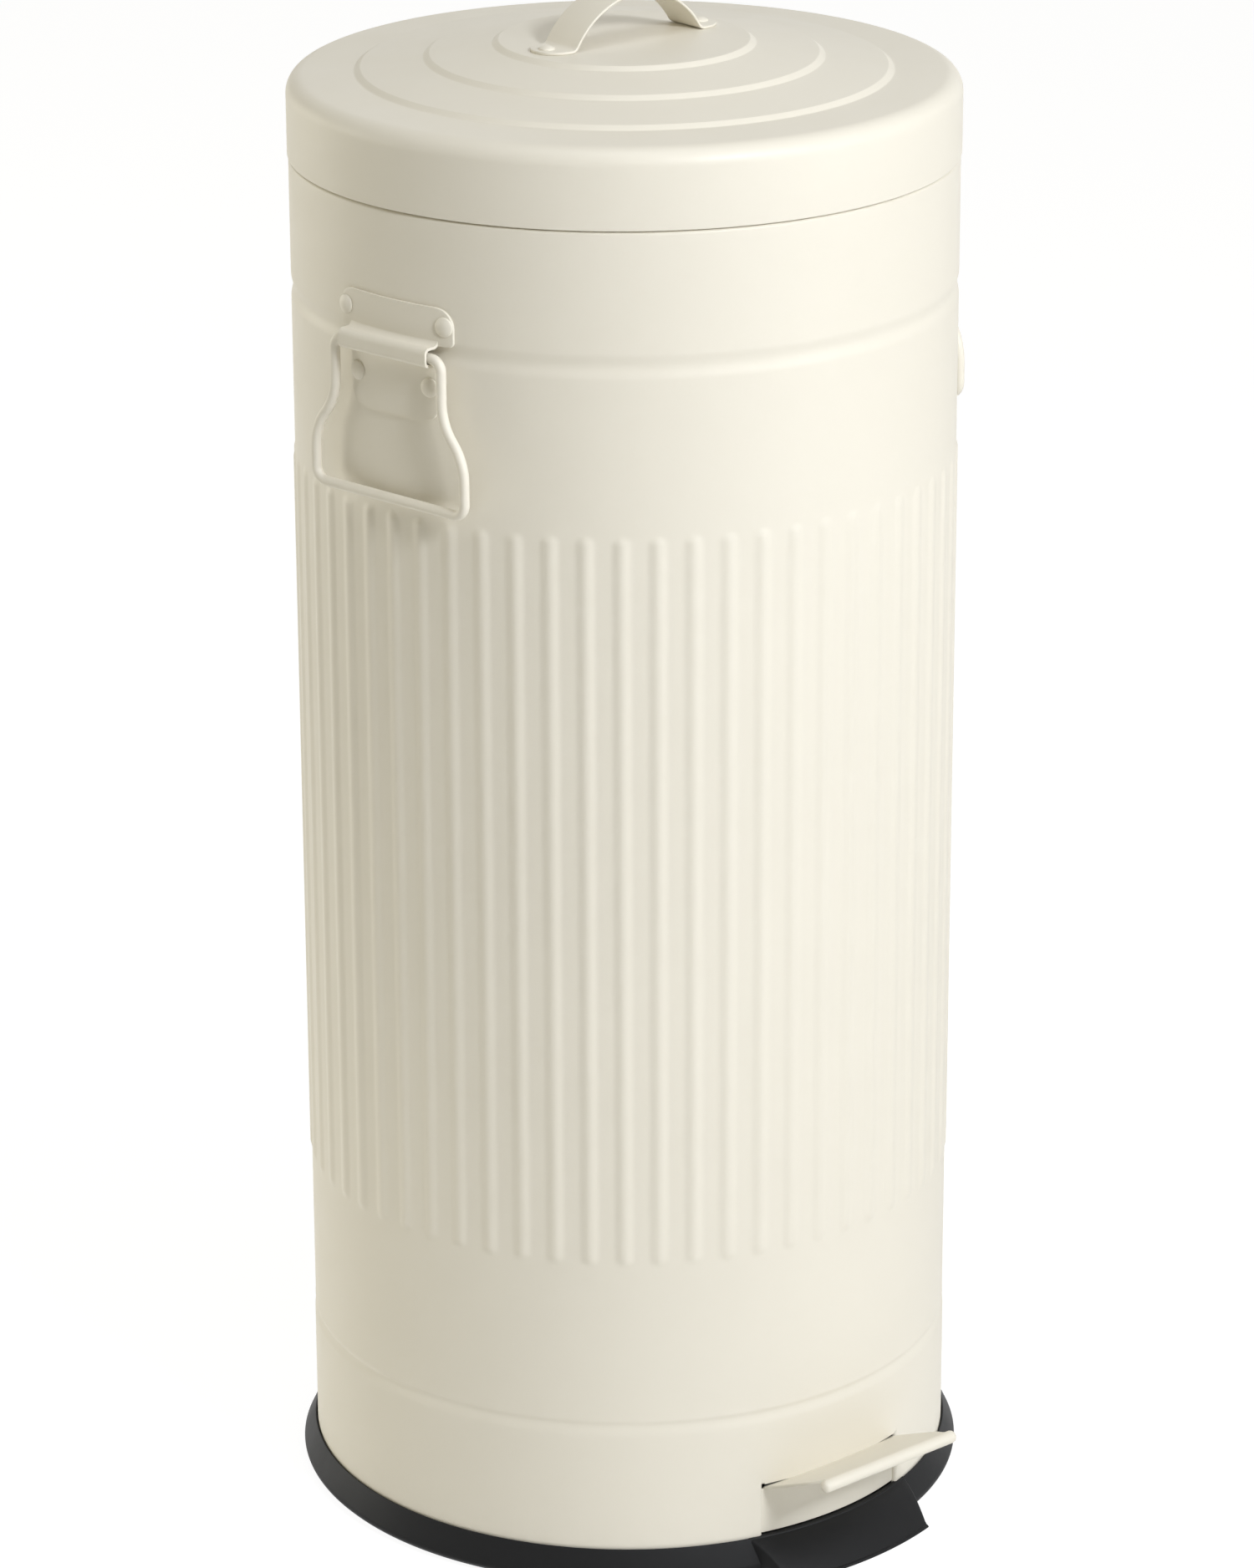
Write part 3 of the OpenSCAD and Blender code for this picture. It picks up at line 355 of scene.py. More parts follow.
def color_mix(tree, amount, first, second):
    """Two colours mixed by an amount; a colour is a tuple or a socket."""
    node = tree.nodes.new("ShaderNodeMix")
    node.data_type = "RGBA"
    tree.links.new(amount, node.inputs["Factor"])
    sockets = [s for s in node.inputs if s.type == "RGBA"]
    for socket, color in zip(sockets, (first, second)):
        if isinstance(color, tuple):
            socket.default_value = (*color, 1)
        else:
            tree.links.new(color, socket)
    return [s for s in node.outputs if s.type == "RGBA"][0]


def worn_edges(tree, place):
    """1 in broken patches along the edges, 0 elsewhere."""
    bevel = tree.nodes.new("ShaderNodeBevel")
    bevel.samples = 4
    bevel.inputs["Radius"].default_value = WEAR_WIDTH
    here = tree.nodes.new("ShaderNodeNewGeometry")
    dot = tree.nodes.new("ShaderNodeVectorMath")
    dot.operation = "DOT_PRODUCT"
    tree.links.new(bevel.outputs["Normal"], dot.inputs[0])
    tree.links.new(here.outputs["Normal"], dot.inputs[1])
    edge = remap(tree, dot.outputs["Value"], (0.97, 0.80), (0, 1))
    patch = remap(tree, noise(tree, place, WEAR_WAVES, 5.0, 0.7), (0.45, 0.75), (0, 1))
    return times(tree, edge, patch)


def finish(slot, color, rough, metal=0.0, drift=0.03, grain=900.0, bump=0.02, wear=0.1,
           worn=(0.6, 0.6, 0.6), specular=0.5, brushed=None):
    """A procedural finish: colour drift, uneven roughness, fine bump and worn edges."""
    mat = bpy.data.materials.new(slot + "_finish")
    mat["slot"] = slot
    mat.use_nodes = True
    tree = mat.node_tree
    shader = tree.nodes["Principled BSDF"]
    shader.inputs["Metallic"].default_value = metal
    shader.inputs["Specular IOR Level"].default_value = specular
    plain = tree.nodes.new("ShaderNodeTexCoord").outputs["Object"]
    place = plain
    if brushed:
        mapping = tree.nodes.new("ShaderNodeMapping")
        mapping.inputs["Scale"].default_value = brushed
        tree.links.new(plain, mapping.inputs["Vector"])
        place = mapping.outputs["Vector"]
    dark = tuple(c * (1 - drift) for c in color)
    light = tuple(min(1, c * (1 + drift)) for c in color)
    patches = remap(tree, noise(tree, place, DRIFT_WAVES, 4.0), MIDDLE, (0, 1))
    base = color_mix(tree, patches, dark, light)
    worn_amount = remap(tree, worn_edges(tree, plain), (0, 1), (0, wear))
    tree.links.new(color_mix(tree, worn_amount, base, worn), shader.inputs["Base Color"])
    gloss = noise(tree, place, GLOSS_WAVES, 5.0, 0.6)
    uneven = remap(tree, gloss, MIDDLE, (rough * 0.92, rough * 1.08))
    tree.links.new(uneven, shader.inputs["Roughness"])
    relief = tree.nodes.new("ShaderNodeBump")
    relief.inputs["Strength"].default_value = bump
    relief.inputs["Distance"].default_value = RELIEF_DEPTH
    tree.links.new(noise(tree, place, grain, 2.0, 0.5), relief.inputs["Height"])
    tree.links.new(relief.outputs["Normal"], shader.inputs["Normal"])
    return mat


CREAM = finish("cream_enamel", (0.785, 0.748, 0.655), 0.46, drift=0.012, grain=700.0, bump=0.035,
               wear=0.10, worn=(0.62, 0.58, 0.48), specular=0.45)
BLACK = finish("black_plastic", (0.0135, 0.0138, 0.0145), 0.48, drift=0.15, grain=1500.0, bump=0.05,
               wear=0.25, worn=(0.030, 0.030, 0.030), specular=0.12)
GREY = finish("grey_plastic", (0.10, 0.105, 0.11), 0.5, drift=0.06, grain=1300.0, bump=0.05,
              wear=0.2, worn=(0.17, 0.17, 0.18))
RUBBER = finish("rubber", (0.018, 0.018, 0.018), 0.78, drift=0.15, grain=2200.0, bump=0.12,
                wear=0.3, worn=(0.05, 0.05, 0.05))
STEEL = finish("plated_steel", (0.60, 0.61, 0.62), 0.34, metal=1.0, drift=0.05, grain=1200.0,
               wear=0.35, worn=(0.78, 0.78, 0.78), brushed=(1.0, 1.0, 0.08))


# The wall
def tread_height(y):
    """Height of the tread's upper face at a distance y in front of the axis."""
    return TREAD_Z + (y - ROOT_Y) * SLOPE


def window_top(turn):
    """Upper edge of the pedal opening: it touches the tread in the middle and leaves it at the ends."""
    off = np.minimum(np.abs(turn), WINDOW_TURN)
    gap = WINDOW_GAP * np.maximum(0, off - WINDOW_CLOSED) / (WINDOW_TURN - WINDOW_CLOSED)
    return tread_height(BODY_R * np.cos(np.radians(off))) + gap


def window_fold(turn, z):
    """How far the wall is turned in along the upright edges of the pedal opening."""
    past = BODY_R * np.radians(np.abs(turn) - WINDOW_TURN)
    reach = np.clip(WINDOW_ROUND - past, 0, WINDOW_ROUND)
    beside = (past > -HAIR) & (z < window_top(WINDOW_TURN) + HAIR)
    return np.where(beside, WINDOW_ROUND - np.sqrt(WINDOW_ROUND ** 2 - reach ** 2), 0)


def wall_radius(turn, z):
    """Radius of the wall's outer face at a turn from the front and a height."""
    pitch = 360 / RIBS
    off = np.radians((turn - RIB_TURN + pitch / 2) % pitch - pitch / 2) * BODY_R
    past = np.maximum(0, np.maximum(RIB_LOW + RIB_HALF - z, z - RIB_TOP + RIB_HALF))
    rib = RIB_RISE * bell(np.hypot(off, past) / RIB_HALF)
    upper = UPPER_DEPTH * bell((z - UPPER_GROOVE) / UPPER_HALF)
    rise = z - LOWER_GROOVE + LOWER_DEEPEST
    lower = LOWER_DEPTH * bell(rise / np.where(rise > 0, LOWER_ABOVE, LOWER_BELOW))
    flare = FLARE * (1 - smooth((z - FLARE_TOP) / FLARE_FADE))
    return BODY_R + rib - upper - lower + flare - window_fold(turn, z)


def wall_turns(step):
    """Turns of the wall's columns, with some at the edges of both openings."""
    back = 180 - SLOT_TURN
    shares = np.array([0, 0.06, 0.2, 0.4, 0.7, 1.0])
    fold = WINDOW_TURN + np.degrees(WINDOW_ROUND * shares / BODY_R)
    edges = np.concatenate([-fold, fold, [-back, back]])
    even = (RIB_TURN + step * np.arange(round(360 / step)) + 180) % 360 - 180
    clear = np.abs(even[:, None] - edges).min(1) > step * 0.3
    return np.sort(np.concatenate([even[clear], edges]))


def opening(turn, rows, limit, back):
    """Which quads lie in an opening: rows of columns nearer to the front or back than the limit."""
    off = 180 - np.abs(turn) if back else np.abs(turn)
    inside = (off <= limit + 1e-6) & (np.roll(off, -1) <= limit + 1e-6)
    return inside[:, None] & rows[None, :]


def sheet_edge(piece, line):
    """A strip over the cut edge of the wall along a line of (turn, height)."""
    turn, z = np.array(line, float).T
    outer = wall_radius(turn, z)
    steps = np.stack([outer, outer - 0.4 * SHEET, np.full_like(outer, BODY_R - SHEET)], 1)
    piece.grid(around(steps, turn[:, None], z[:, None]))


def wall_heights():
    """Heights of the wall's rows: close where it is pressed, and wide apart elsewhere."""
    foot = WALL_LOW + np.array([0, 1.5, 3.0, 5.5, 9.5, 14.5, 20.5])
    window = TREAD_Z + np.array([1.0, 2.0])
    over_window = EDGE_Z + np.array([28.5, 37.5, 45.5, 51.5])
    groove = np.linspace(-6.5, 6.5, 20)
    under_ribs = LOWER_GROOVE + np.array([14, 29, 46, 60])
    rib_end = np.linspace(-2.5, 10.5, 16)
    ribs = np.linspace(RIB_LOW + 20, RIB_TOP - 20, 16)
    over_ribs = UPPER_GROOVE - np.array([62, 52, 38, 22, 12])
    under_slot = [UPPER_GROOVE + 11, SLOT_LOW - 6]
    slot = np.linspace(SLOT_LOW, SLOT_TOP - 2, 4)
    return np.concatenate([
        foot, window, over_window, LOWER_GROOVE + groove, under_ribs, RIB_LOW + rib_end, ribs,
        RIB_TOP - rib_end[::-1], over_ribs, UPPER_GROOVE + 1.08 * groove, under_slot, slot])


def shell_face(piece, turn, heights, radius, flip):
    """One face of the wall with both openings left out; gives back the heights beside the pedal."""
    turns, z = np.meshgrid(turn, heights, indexing="ij")
    first = int(np.argmax(heights > TREAD_Z))
    z[:, first] = window_top(turn)
    if not flip:
        z[:, first + 1] = window_top(turn) + WINDOW_ROW
    skip = opening(turn, np.arange(len(heights)) < first, WINDOW_TURN, False)
    slot = (heights > SLOT_LOW - HAIR) & (heights < SLOT_TOP - HAIR)
    skip |= opening(turn, slot, SLOT_TURN, True)
    piece.grid(around(radius(turns, z), turns, z), wrap_u=True, skip=skip, flip=flip)
    return heights[:first]


# The grooves are wider on the wall's inner face, which has few rows
INNER_UPPER_HALF = 9.0
INNER_UPPER_DEPTH = 0.9
INNER_LOWER_HALF = 8.0
INNER_LOWER_DEPTH = 0.6
INNER_MIDDLE = 300.0


def inner_radius(turn, z):
    """Radius of the wall's inner face, the same at every turn."""
    upper = INNER_UPPER_DEPTH * bell((z - UPPER_GROOVE) / INNER_UPPER_HALF)
    lower = INNER_LOWER_DEPTH * bell((z - LOWER_GROOVE) / INNER_LOWER_HALF)
    return BODY_R - SHEET - upper - lower


def inner_heights():
    """Heights of the rows of the wall's inner face."""
    three = np.array([-1, 0, 1])
    return np.concatenate([
        [WALL_LOW, TREAD_Z + 1], LOWER_GROOVE + INNER_LOWER_HALF * three, [INNER_MIDDLE],
        UPPER_GROOVE + INNER_UPPER_HALF * three, [SLOT_LOW, SLOT_TOP]])


def opening_edges(piece, sides):
    """The cut edges of the sheet round the pedal opening and round the slot for the lid's arm."""
    top = [(t, float(window_top(t))) for t in np.linspace(-WINDOW_TURN, WINDOW_TURN, 41)]
    sheet_edge(piece, [(-WINDOW_TURN, z) for z in sides] + top[:1])
    sheet_edge(piece, top)
    sheet_edge(piece, top[-1:] + [(WINDOW_TURN, z) for z in sides[::-1]])
    left, right = 180 - SLOT_TURN, 180 + SLOT_TURN
    corners = [(left, SLOT_TOP), (right, SLOT_TOP), (right, SLOT_LOW), (left, SLOT_LOW)]
    sheet_edge(piece, corners + corners[:1])


def build_wall():
    """The ribbed sheet with its two grooves and openings, and the shoulder and neck above it."""
    piece = Piece()
    heights = np.append(wall_heights(), SLOT_TOP)
    sides = shell_face(piece, wall_turns(0.4), heights, wall_radius, False)
    shell_face(piece, wall_turns(2.0), inner_heights(), inner_radius, True)
    body_in = BODY_R - SHEET
    neck_in = NECK_R - SHEET
    neck = path([
        (BODY_R, SLOT_TOP), (BODY_R, SHOULDER_Z, 1.5), (NECK_R, SHOULDER_Z, 0.8),
        (NECK_R, NECK_TOP, 0.45), (neck_in, NECK_TOP, 0.45), (neck_in, SHOULDER_Z - SHEET, 0.5),
        (body_in, SHOULDER_Z - SHEET, 0.6), (body_in, SLOT_TOP)], 12)
    piece.grid(spin(neck, 450), wrap_u=True)
    opening_edges(piece, sides)
    piece.build("wall", CREAM, "casing", ["body_shell"])


# The lid
LID_STEPS = (115.5, 85.6, 55.8)
LID_STEP_FOOT = 0.9
LID_STEP_RISE = 5.6
LID_STEP_HALF = 1.3
LID_STEP_SLOPE = 2.0
LID_ROUND = 8.0
LID_SHEET = 0.8
LID_GAP = 0.45
LID_HEM = 3.0


def build_lid():
    """The domed pan: three steps up to a flat middle, and a folded hem at the rim."""
    low = SHOULDER_Z + LID_GAP
    dome = [(LID_R, LID_EDGE, LID_ROUND)]
    for k, r in enumerate(LID_STEPS):
        foot = LID_EDGE + LID_STEP_FOOT + LID_STEP_RISE * k
        dome.append((r + LID_STEP_HALF, foot, 1.6))
        dome.append((r - LID_STEP_HALF, foot + LID_STEP_SLOPE, 1.5))
    hem_r = LID_R - LID_HEM
    hem = [(hem_r, low + 2.4), (hem_r, low + 0.1, 0.8), (LID_R, low, 0.6)]
    outer = path(hem + dome + [(AXIS_R, LID_FLAT)], 7)
    inner_r = LID_R - LID_SHEET
    under = [(r - 0.4 * LID_SHEET, z - LID_SHEET, bend) for r, z, bend in dome[:0:-1]]
    under.append((inner_r, LID_EDGE - LID_SHEET, LID_ROUND - LID_SHEET))
    inner = path([(AXIS_R, LID_FLAT - LID_SHEET)] + under + [(inner_r, low + 2.6)], 12)
    lathe("lid_pan", np.concatenate([outer, inner]), CREAM, "lid", ["lid_shell"], 300)


# The strap handle on the lid
STRAP_T = 1.2
STRAP_R = 40.7
STRAP_HALF = 10.5
STRAP_TIP = 49.3
STRAP_RIVET_X = 43.2
STRAP_FILLET = 3.4
STRAP_EDGE = 0.45
HEAD_H = 1.7
STRAP_HEAD_R = 3.5
STRAP_Z = LID_FLAT + 0.05 + STRAP_T / 2
STRAP_CENTRE = level("lid_strap_handle", TOP) - STRAP_R - STRAP_T / 2


def strap_line():
    """Middle line (x, z) of the strap from its tip to the crown, with its half width."""
    fillet_z = STRAP_Z + STRAP_FILLET
    reach = STRAP_R + STRAP_FILLET
    fillet_x = math.sqrt(reach ** 2 - (fillet_z - STRAP_CENTRE) ** 2)
    foot = math.atan2(fillet_z - STRAP_CENTRE, fillet_x)
    tip = np.linspace(0, math.pi / 2, 13)
    line = [(STRAP_TIP - STRAP_HALF * (1 - math.cos(a)), STRAP_Z) for a in tip]
    half = [max(0.25, STRAP_HALF * math.sin(a)) for a in tip]
    line.append((fillet_x, STRAP_Z))
    line += arc(fillet_x, fillet_z, STRAP_FILLET, -math.pi / 2, foot - math.pi, 10)
    line += arc(0, STRAP_CENTRE, STRAP_R, foot, math.pi / 2, 41)
    half += [STRAP_HALF] * (len(line) - len(half))
    return line, half


def swept_sheet(line, half, low, high, edge):
    """Rings of a sheet of some half width along a line (x, z); low and high are its two faces."""
    line = np.asarray(line, float)
    ahead = np.gradient(line, axis=0)
    ahead /= np.linalg.norm(ahead, axis=1)[:, None]
    up = np.stack([ahead[:, 1], -ahead[:, 0]], -1)
    rows = []
    for here, out, width in zip(line, up, half):
        section = bar(width, low, high, edge)
        mid = here + section[:, 1:2] * out
        rows.append(np.stack([mid[:, 0], section[:, 0], mid[:, 1]], -1))
    return np.array(rows)


def build_strap():
    """The bent strip over the lid and the heads of its two rivets."""
    line, half = strap_line()
    line += [(-x, z) for x, z in line[-2::-1]]
    half += half[-2::-1]
    piece = Piece()
    rows = swept_sheet(line, half, -STRAP_T / 2, STRAP_T / 2, STRAP_EDGE)
    piece.grid(closed_ends(rows), wrap_v=True, flip=True)
    piece.build("strap", CREAM, "lid", ["lid_strap_handle"], 50)
    heads = Piece()
    for side in (-1, 1):
        seat = (side * STRAP_RIVET_X, 0, STRAP_Z + STRAP_T / 2)
        heads.grid(placed(rivet_head(STRAP_HEAD_R, HEAD_H), seat, (0, 0, 1)), wrap_u=True)
    heads.build("strap_rivet_heads", CREAM, "lid", ["strap_rivets"], 50)


# The handles at the sides
BRACKET_T = 1.2
BRACKET_R = BODY_R + 0.05
BRACKET_EDGE = 0.35
CHANNEL_HALF = 25.3
CHANNEL_OUT = BAIL_R + 3.75
CHANNEL_UP = 4.9
CHANNEL_DOWN = 3.6
FOLD_TOP = 12.0
FOLD_LOW = -8.0
FOLD_SINK = 0.12
BENDS_OUTSIDE = (2.6, 2.8, 2.2, 1.2)
BENDS_INSIDE = (3.6, 1.8, 1.2, 2.2)
WING_HALF = 33.0
WING_LOW = 4.6
WING_TOP = 21.0
WING_ROUNDS = (2.2, 8.5)
TAIL_TOP = -4.5
TAIL_LOW = -28.5
TAIL_ROUNDS = (6.5, 0.1)
BRACKET_HEAD_R = 4.25
BRACKET_RIVETS = ((28.2, 13.2), (20.7, -14.0))


def facing(across, out, z, turn):
    """Points at a distance across and out from the axis, for a part that faces a turn."""
    return turned(np.stack(np.broadcast_arrays(across, -out, z), -1), turn)


def plate_outline(half, low, high, low_round, high_round):
    """Half widths and heights of a plate with rounded lower and upper corners."""
    a = np.radians(np.linspace(0, 90, 10))
    widths = np.concatenate([half - low_round * (1 - np.sin(a)), half - high_round * (1 - np.cos(a))])
    heights = np.concatenate([low + low_round * (1 - np.cos(a)), high - high_round * (1 - np.sin(a))])
    return widths, heights


def plate(piece, outline, turn):
    """A sheet plate wrapped on the wall."""
    rows = []
    for half, z in zip(*outline):
        section = bar(half, 0, BRACKET_T, BRACKET_EDGE, 28)
        radius = BRACKET_R + section[:, 1]
        a = section[:, 0] / radius
        rows.append(facing(radius * np.sin(a), radius * np.cos(a), z, turn))
    piece.grid(closed_ends(np.array(rows)), wrap_v=True)


def fold_section(root, depth, bends):
    """Section (up, out) of the fold at a depth below its outer face, with the radii of its bends."""
    up, down, out = CHANNEL_UP - depth, depth - CHANNEL_DOWN, CHANNEL_OUT - depth
    foot = root - depth
    corners = ((up, foot), (up, out), (down, out), (down, foot))
    rounded = [(*corner, bend) for corner, bend in zip(corners, bends)]
    return evenly(path([(FOLD_TOP, foot)] + rounded + [(FOLD_LOW, foot)], 12), 80)


def channel(piece, turn):
    """The fold of the sheet over the wire: straight, while the plates it grows from follow the wall."""
    across = np.linspace(-CHANNEL_HALF, CHANNEL_HALF, 27)
    roots = np.sqrt((BRACKET_R + BRACKET_T) ** 2 - across ** 2) - FOLD_SINK
    faces = []
    for depth, bends in ((0, BENDS_OUTSIDE), (BRACKET_T, BENDS_INSIDE)):
        fold = np.array([fold_section(root, depth, bends) for root in roots])
        faces.append(facing(across[:, None], fold[..., 1], PIVOT_Z + fold[..., 0], turn))
    piece.grid(faces[0])
    piece.grid(faces[1], flip=True)
    for end in (0, -1):
        piece.grid(np.stack([faces[0][end], faces[1][end]], 1), flip=end == 0)


def build_bracket(side, turn):
    """The sheet that holds a wire handle: a wing above, a tail below, the fold between, and rivets."""
    piece = Piece()
    wing = plate_outline(WING_HALF, PIVOT_Z + WING_LOW, PIVOT_Z + WING_TOP, *WING_ROUNDS)
    tail = plate_outline(CHANNEL_HALF, PIVOT_Z + TAIL_LOW, PIVOT_Z + TAIL_TOP, *TAIL_ROUNDS)
    plate(piece, wing, turn)
    plate(piece, tail, turn)
    channel(piece, turn)
    piece.build(side + "_bracket", CREAM, "casing", [side + "_handle_bracket"], 45)
    heads = Piece()
    seat = BRACKET_R + BRACKET_T - 0.02
    for x, z in BRACKET_RIVETS:
        for way in (-1, 1):
            out = turned((0, -1.0, 0), turn + way * math.degrees(math.asin(x / BODY_R)))
            head = rivet_head(BRACKET_HEAD_R, HEAD_H)
            heads.grid(placed(head, out * seat + (0, 0, PIVOT_Z + z), out), wrap_u=True)
    heads.build(side + "_bracket_rivet_heads", CREAM, "casing", [side + "_bracket_rivets"], 50)


BAIL_TOP_X = 31.0
BAIL_LOW_X = 43.5
BAIL_DROP = 65.7
BAIL_LEG = 18.0
BAIL_SIDE = 8.7
BAIL_TOP_BEND = 5.0
BAIL_LOW_BEND = 6.0


def bail_half():
    """Right half of the hanging wire's middle line (x, z), from the top to the grip."""
    run_x = BAIL_LOW_X - BAIL_TOP_X
    run_z = BAIL_DROP - BAIL_LEG - BAIL_SIDE - BAIL_LOW_BEND
    lean = 2 * math.atan2(run_x, run_z)
    bend = run_z / 2 / math.sin(lean)
    low = BAIL_LOW_BEND - BAIL_DROP
    line = [(0.0, 0.0), (BAIL_TOP_X - BAIL_TOP_BEND, 0.0)]
    line += arc(BAIL_TOP_X - BAIL_TOP_BEND, -BAIL_TOP_BEND, BAIL_TOP_BEND, math.pi / 2, 0, 11)
    line.append((BAIL_TOP_X, -BAIL_LEG))
    line += arc(BAIL_TOP_X + bend, -BAIL_LEG, bend, math.pi, math.pi + lean, 9)
    line += arc(BAIL_LOW_X - bend, low + BAIL_SIDE, bend, lean, 0, 9)
    line.append((BAIL_LOW_X, low))
    line += arc(BAIL_LOW_X - BAIL_LOW_BEND, low, BAIL_LOW_BEND, 0, -math.pi / 2, 11)
    return line + [(BAIL_LOW_X / 2, -BAIL_DROP), (0.0, -BAIL_DROP)]


def build_bail(side, turn):
    """The wire handle that hangs in its bracket."""
    half = bail_half()
    loop = np.array(half + [(-x, z) for x, z in half[-2:0:-1]])
    piece = Piece()
    line = facing(loop[:, 0], np.full(len(loop), BAIL_R), PIVOT_Z + loop[:, 1], turn)
    piece.grid(tube(line, WIRE_R, closed=True), wrap_u=True, wrap_v=True, flip=True)
    piece.build(side + "_bail_wire", CREAM, side + "_handle", [side + "_bail"], 60)


# The base
LIP_IN = BODY_R + 0.9
LIP_OUT = BODY_R + 1.5
BASE_R = BODY_R + 7.4
BASE_ROUND = 3.4
BASE_LOW = level("base_moulding", LOW)
FLOOR_TOP = BASE_LOW + 2.2
GROOVE_IN = BODY_R - 1.3
GROOVE_LOW = WALL_LOW - 0.2
UPSTAND_TOP = EDGE_Z + 17.0
UPSTAND_IN = GROOVE_IN - 2.7
POCKET_IN = UPSTAND_IN - 1.5
POCKET_TURN = WINDOW_TURN + 1.2
PAD_ROOT = 47.5
PAD_TIP = 42.4
PAD_IN = BODY_R - 0.7
PAD_R = BODY_R + 21.0
PAD_TAPER_END = (PAD_R - BODY_R) / 1.12
PAD_TOP = EDGE_Z - 0.1
PAD_FALL = 4.8
PAD_BEND = 9.6
PAD_ROUND = 1.2
PAD_EDGE = 0.9
PAD_LEAST = 0.4


def toe_pad(piece):
    """The low step in front of the pedal, which falls in a curve from the wall to the floor."""
    nose_start = PAD_R - PAD_ROUND
    nose = nose_start + PAD_ROUND * np.sin(np.radians(np.linspace(9, 90, 10)))
    rows = []
    for r in np.concatenate([np.linspace(PAD_IN, nose_start, 18), nose]):
        reach = max(0, r - BODY_R)
        half = PAD_ROOT + (PAD_TIP - PAD_ROOT) * min(1, reach / PAD_TAPER_END)
        along = min(1, reach / (nose_start - BODY_R))
        top = PAD_TOP - PAD_FALL * along - PAD_BEND * along ** 2
        top -= PAD_ROUND - math.sqrt(PAD_ROUND ** 2 - max(0, r - nose_start) ** 2 + 1e-9)
        section = bar(half, BASE_LOW, max(top, BASE_LOW + PAD_LEAST), PAD_EDGE, 24)
        y = np.sqrt(r * r - section[:, 0] ** 2)
        rows.append(np.stack([section[:, 0], -y, section[:, 1]], -1))
    piece.grid(ends_down(rows, BASE_LOW), wrap_v=True)


def build_base():
    """The ring outside the wall, the floor, and between them the groove, left out behind the pedal."""
    ring = path([
        (LIP_IN, BASE_LOW), (LIP_IN, EDGE_Z, 0.2), (LIP_OUT, EDGE_Z, 0.3),
        (BASE_R, BASE_LOW + BASE_ROUND, 3.0), (BASE_R - BASE_ROUND, BASE_LOW, 3.0), (LIP_IN, BASE_LOW)], 8)
    floor = [(AXIS_R, FLOOR_TOP), (POCKET_IN, FLOOR_TOP), (POCKET_IN, BASE_LOW), (AXIS_R, BASE_LOW)]
    groove = path([
        (POCKET_IN, BASE_LOW), (POCKET_IN, FLOOR_TOP), (UPSTAND_IN, FLOOR_TOP, 1.0),
        (UPSTAND_IN, UPSTAND_TOP, 0.8), (GROOVE_IN, UPSTAND_TOP, 0.8), (GROOVE_IN, GROOVE_LOW),
        (LIP_IN, GROOVE_LOW), (LIP_IN, BASE_LOW)], 12)
    piece = Piece()
    piece.grid(spin(ring, 300)[:, ::-1], wrap_u=True, wrap_v=True, flip=True)
    piece.grid(spin(floor, 120), wrap_u=True)
    behind = np.linspace(POCKET_TURN, 360 - POCKET_TURN, 260)
    piece.grid(ends_down(around(groove[:, 0], behind[:, None], groove[:, 1]), BASE_LOW), wrap_v=True)
    toe_pad(piece)
    piece.build("base", BLACK, "casing", ["base_moulding"], 40)


# The pedal
LIP_R = 2.9
LIP_Y = -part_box("pedal_tread")[LOW][1] * MM_PER_M - LIP_R
LIP_Z = TREAD_Z + (LIP_Y - ROOT_Y) * SLOPE - LIP_R / math.cos(TILT)
LIP_HALF = 37.4
TREAD_HALF = 39.0
TREAD_EDGE = 0.6
TREAD_DRAW = 3.2
TREAD_DRAW_LONG = 11.0
TREAD_BACK = 139.5
SKIRT_R = BODY_R - 1.3
SKIRT_HALF = WINDOW_X + 1.4
SKIRT_LOW = EDGE_Z + 0.4
SKIRT_UNDER = 0.8


def tread(piece):
    """The sloping sheet, which draws in towards the lip along an S, and the closed bead in front."""
    meet = LIP_Y - LIP_R * math.sin(TILT)
    y = np.linspace(TREAD_BACK, meet, 30)
    half = TREAD_HALF - TREAD_DRAW * smooth((y - meet + TREAD_DRAW_LONG) / TREAD_DRAW_LONG)
    line = np.stack([y, tread_height(y)], -1)
    rows = swept_sheet(line, half, 0, TREAD_T, TREAD_EDGE)
    piece.grid(closed_ends(np.stack([rows[..., 1], -rows[..., 0], rows[..., 2]], -1)), wrap_v=True)
    x = np.linspace(-LIP_HALF, LIP_HALF, 24)
    bead = np.stack([x, np.full_like(x, -LIP_Y), np.full_like(x, LIP_Z)], -1)
    piece.grid(tube(bead, LIP_R, 28), wrap_v=True, flip=True)


def skirt(piece):
    """The upright sheet below the tread, which closes the opening in the wall from behind."""
    x = np.linspace(-SKIRT_HALF, SKIRT_HALF, 35)
    faces = []
    for radius in (SKIRT_R, SKIRT_R - TREAD_T):
        y = np.sqrt(radius ** 2 - x ** 2)
        high = tread_height(y) - SKIRT_UNDER
        levels = [np.full_like(x, SKIRT_LOW), (EDGE_Z + high) / 2, high]
        faces.append(np.stack([np.stack([x, -y, z], -1) for z in levels], 1))
    piece.grid(np.concatenate([faces[0], faces[1][:, ::-1]], 1), wrap_v=True)
    for end in (0, -1):
        piece.grid(np.stack([faces[0][end], faces[1][end]], 0), flip=end == 0)


def build_pedal():
    """Tread, bead and skirt in one mesh."""
    piece = Piece()
    tread(piece)
    skirt(piece)
    piece.build("pedal", CREAM, "pedal", ["pedal_tread"], 45)


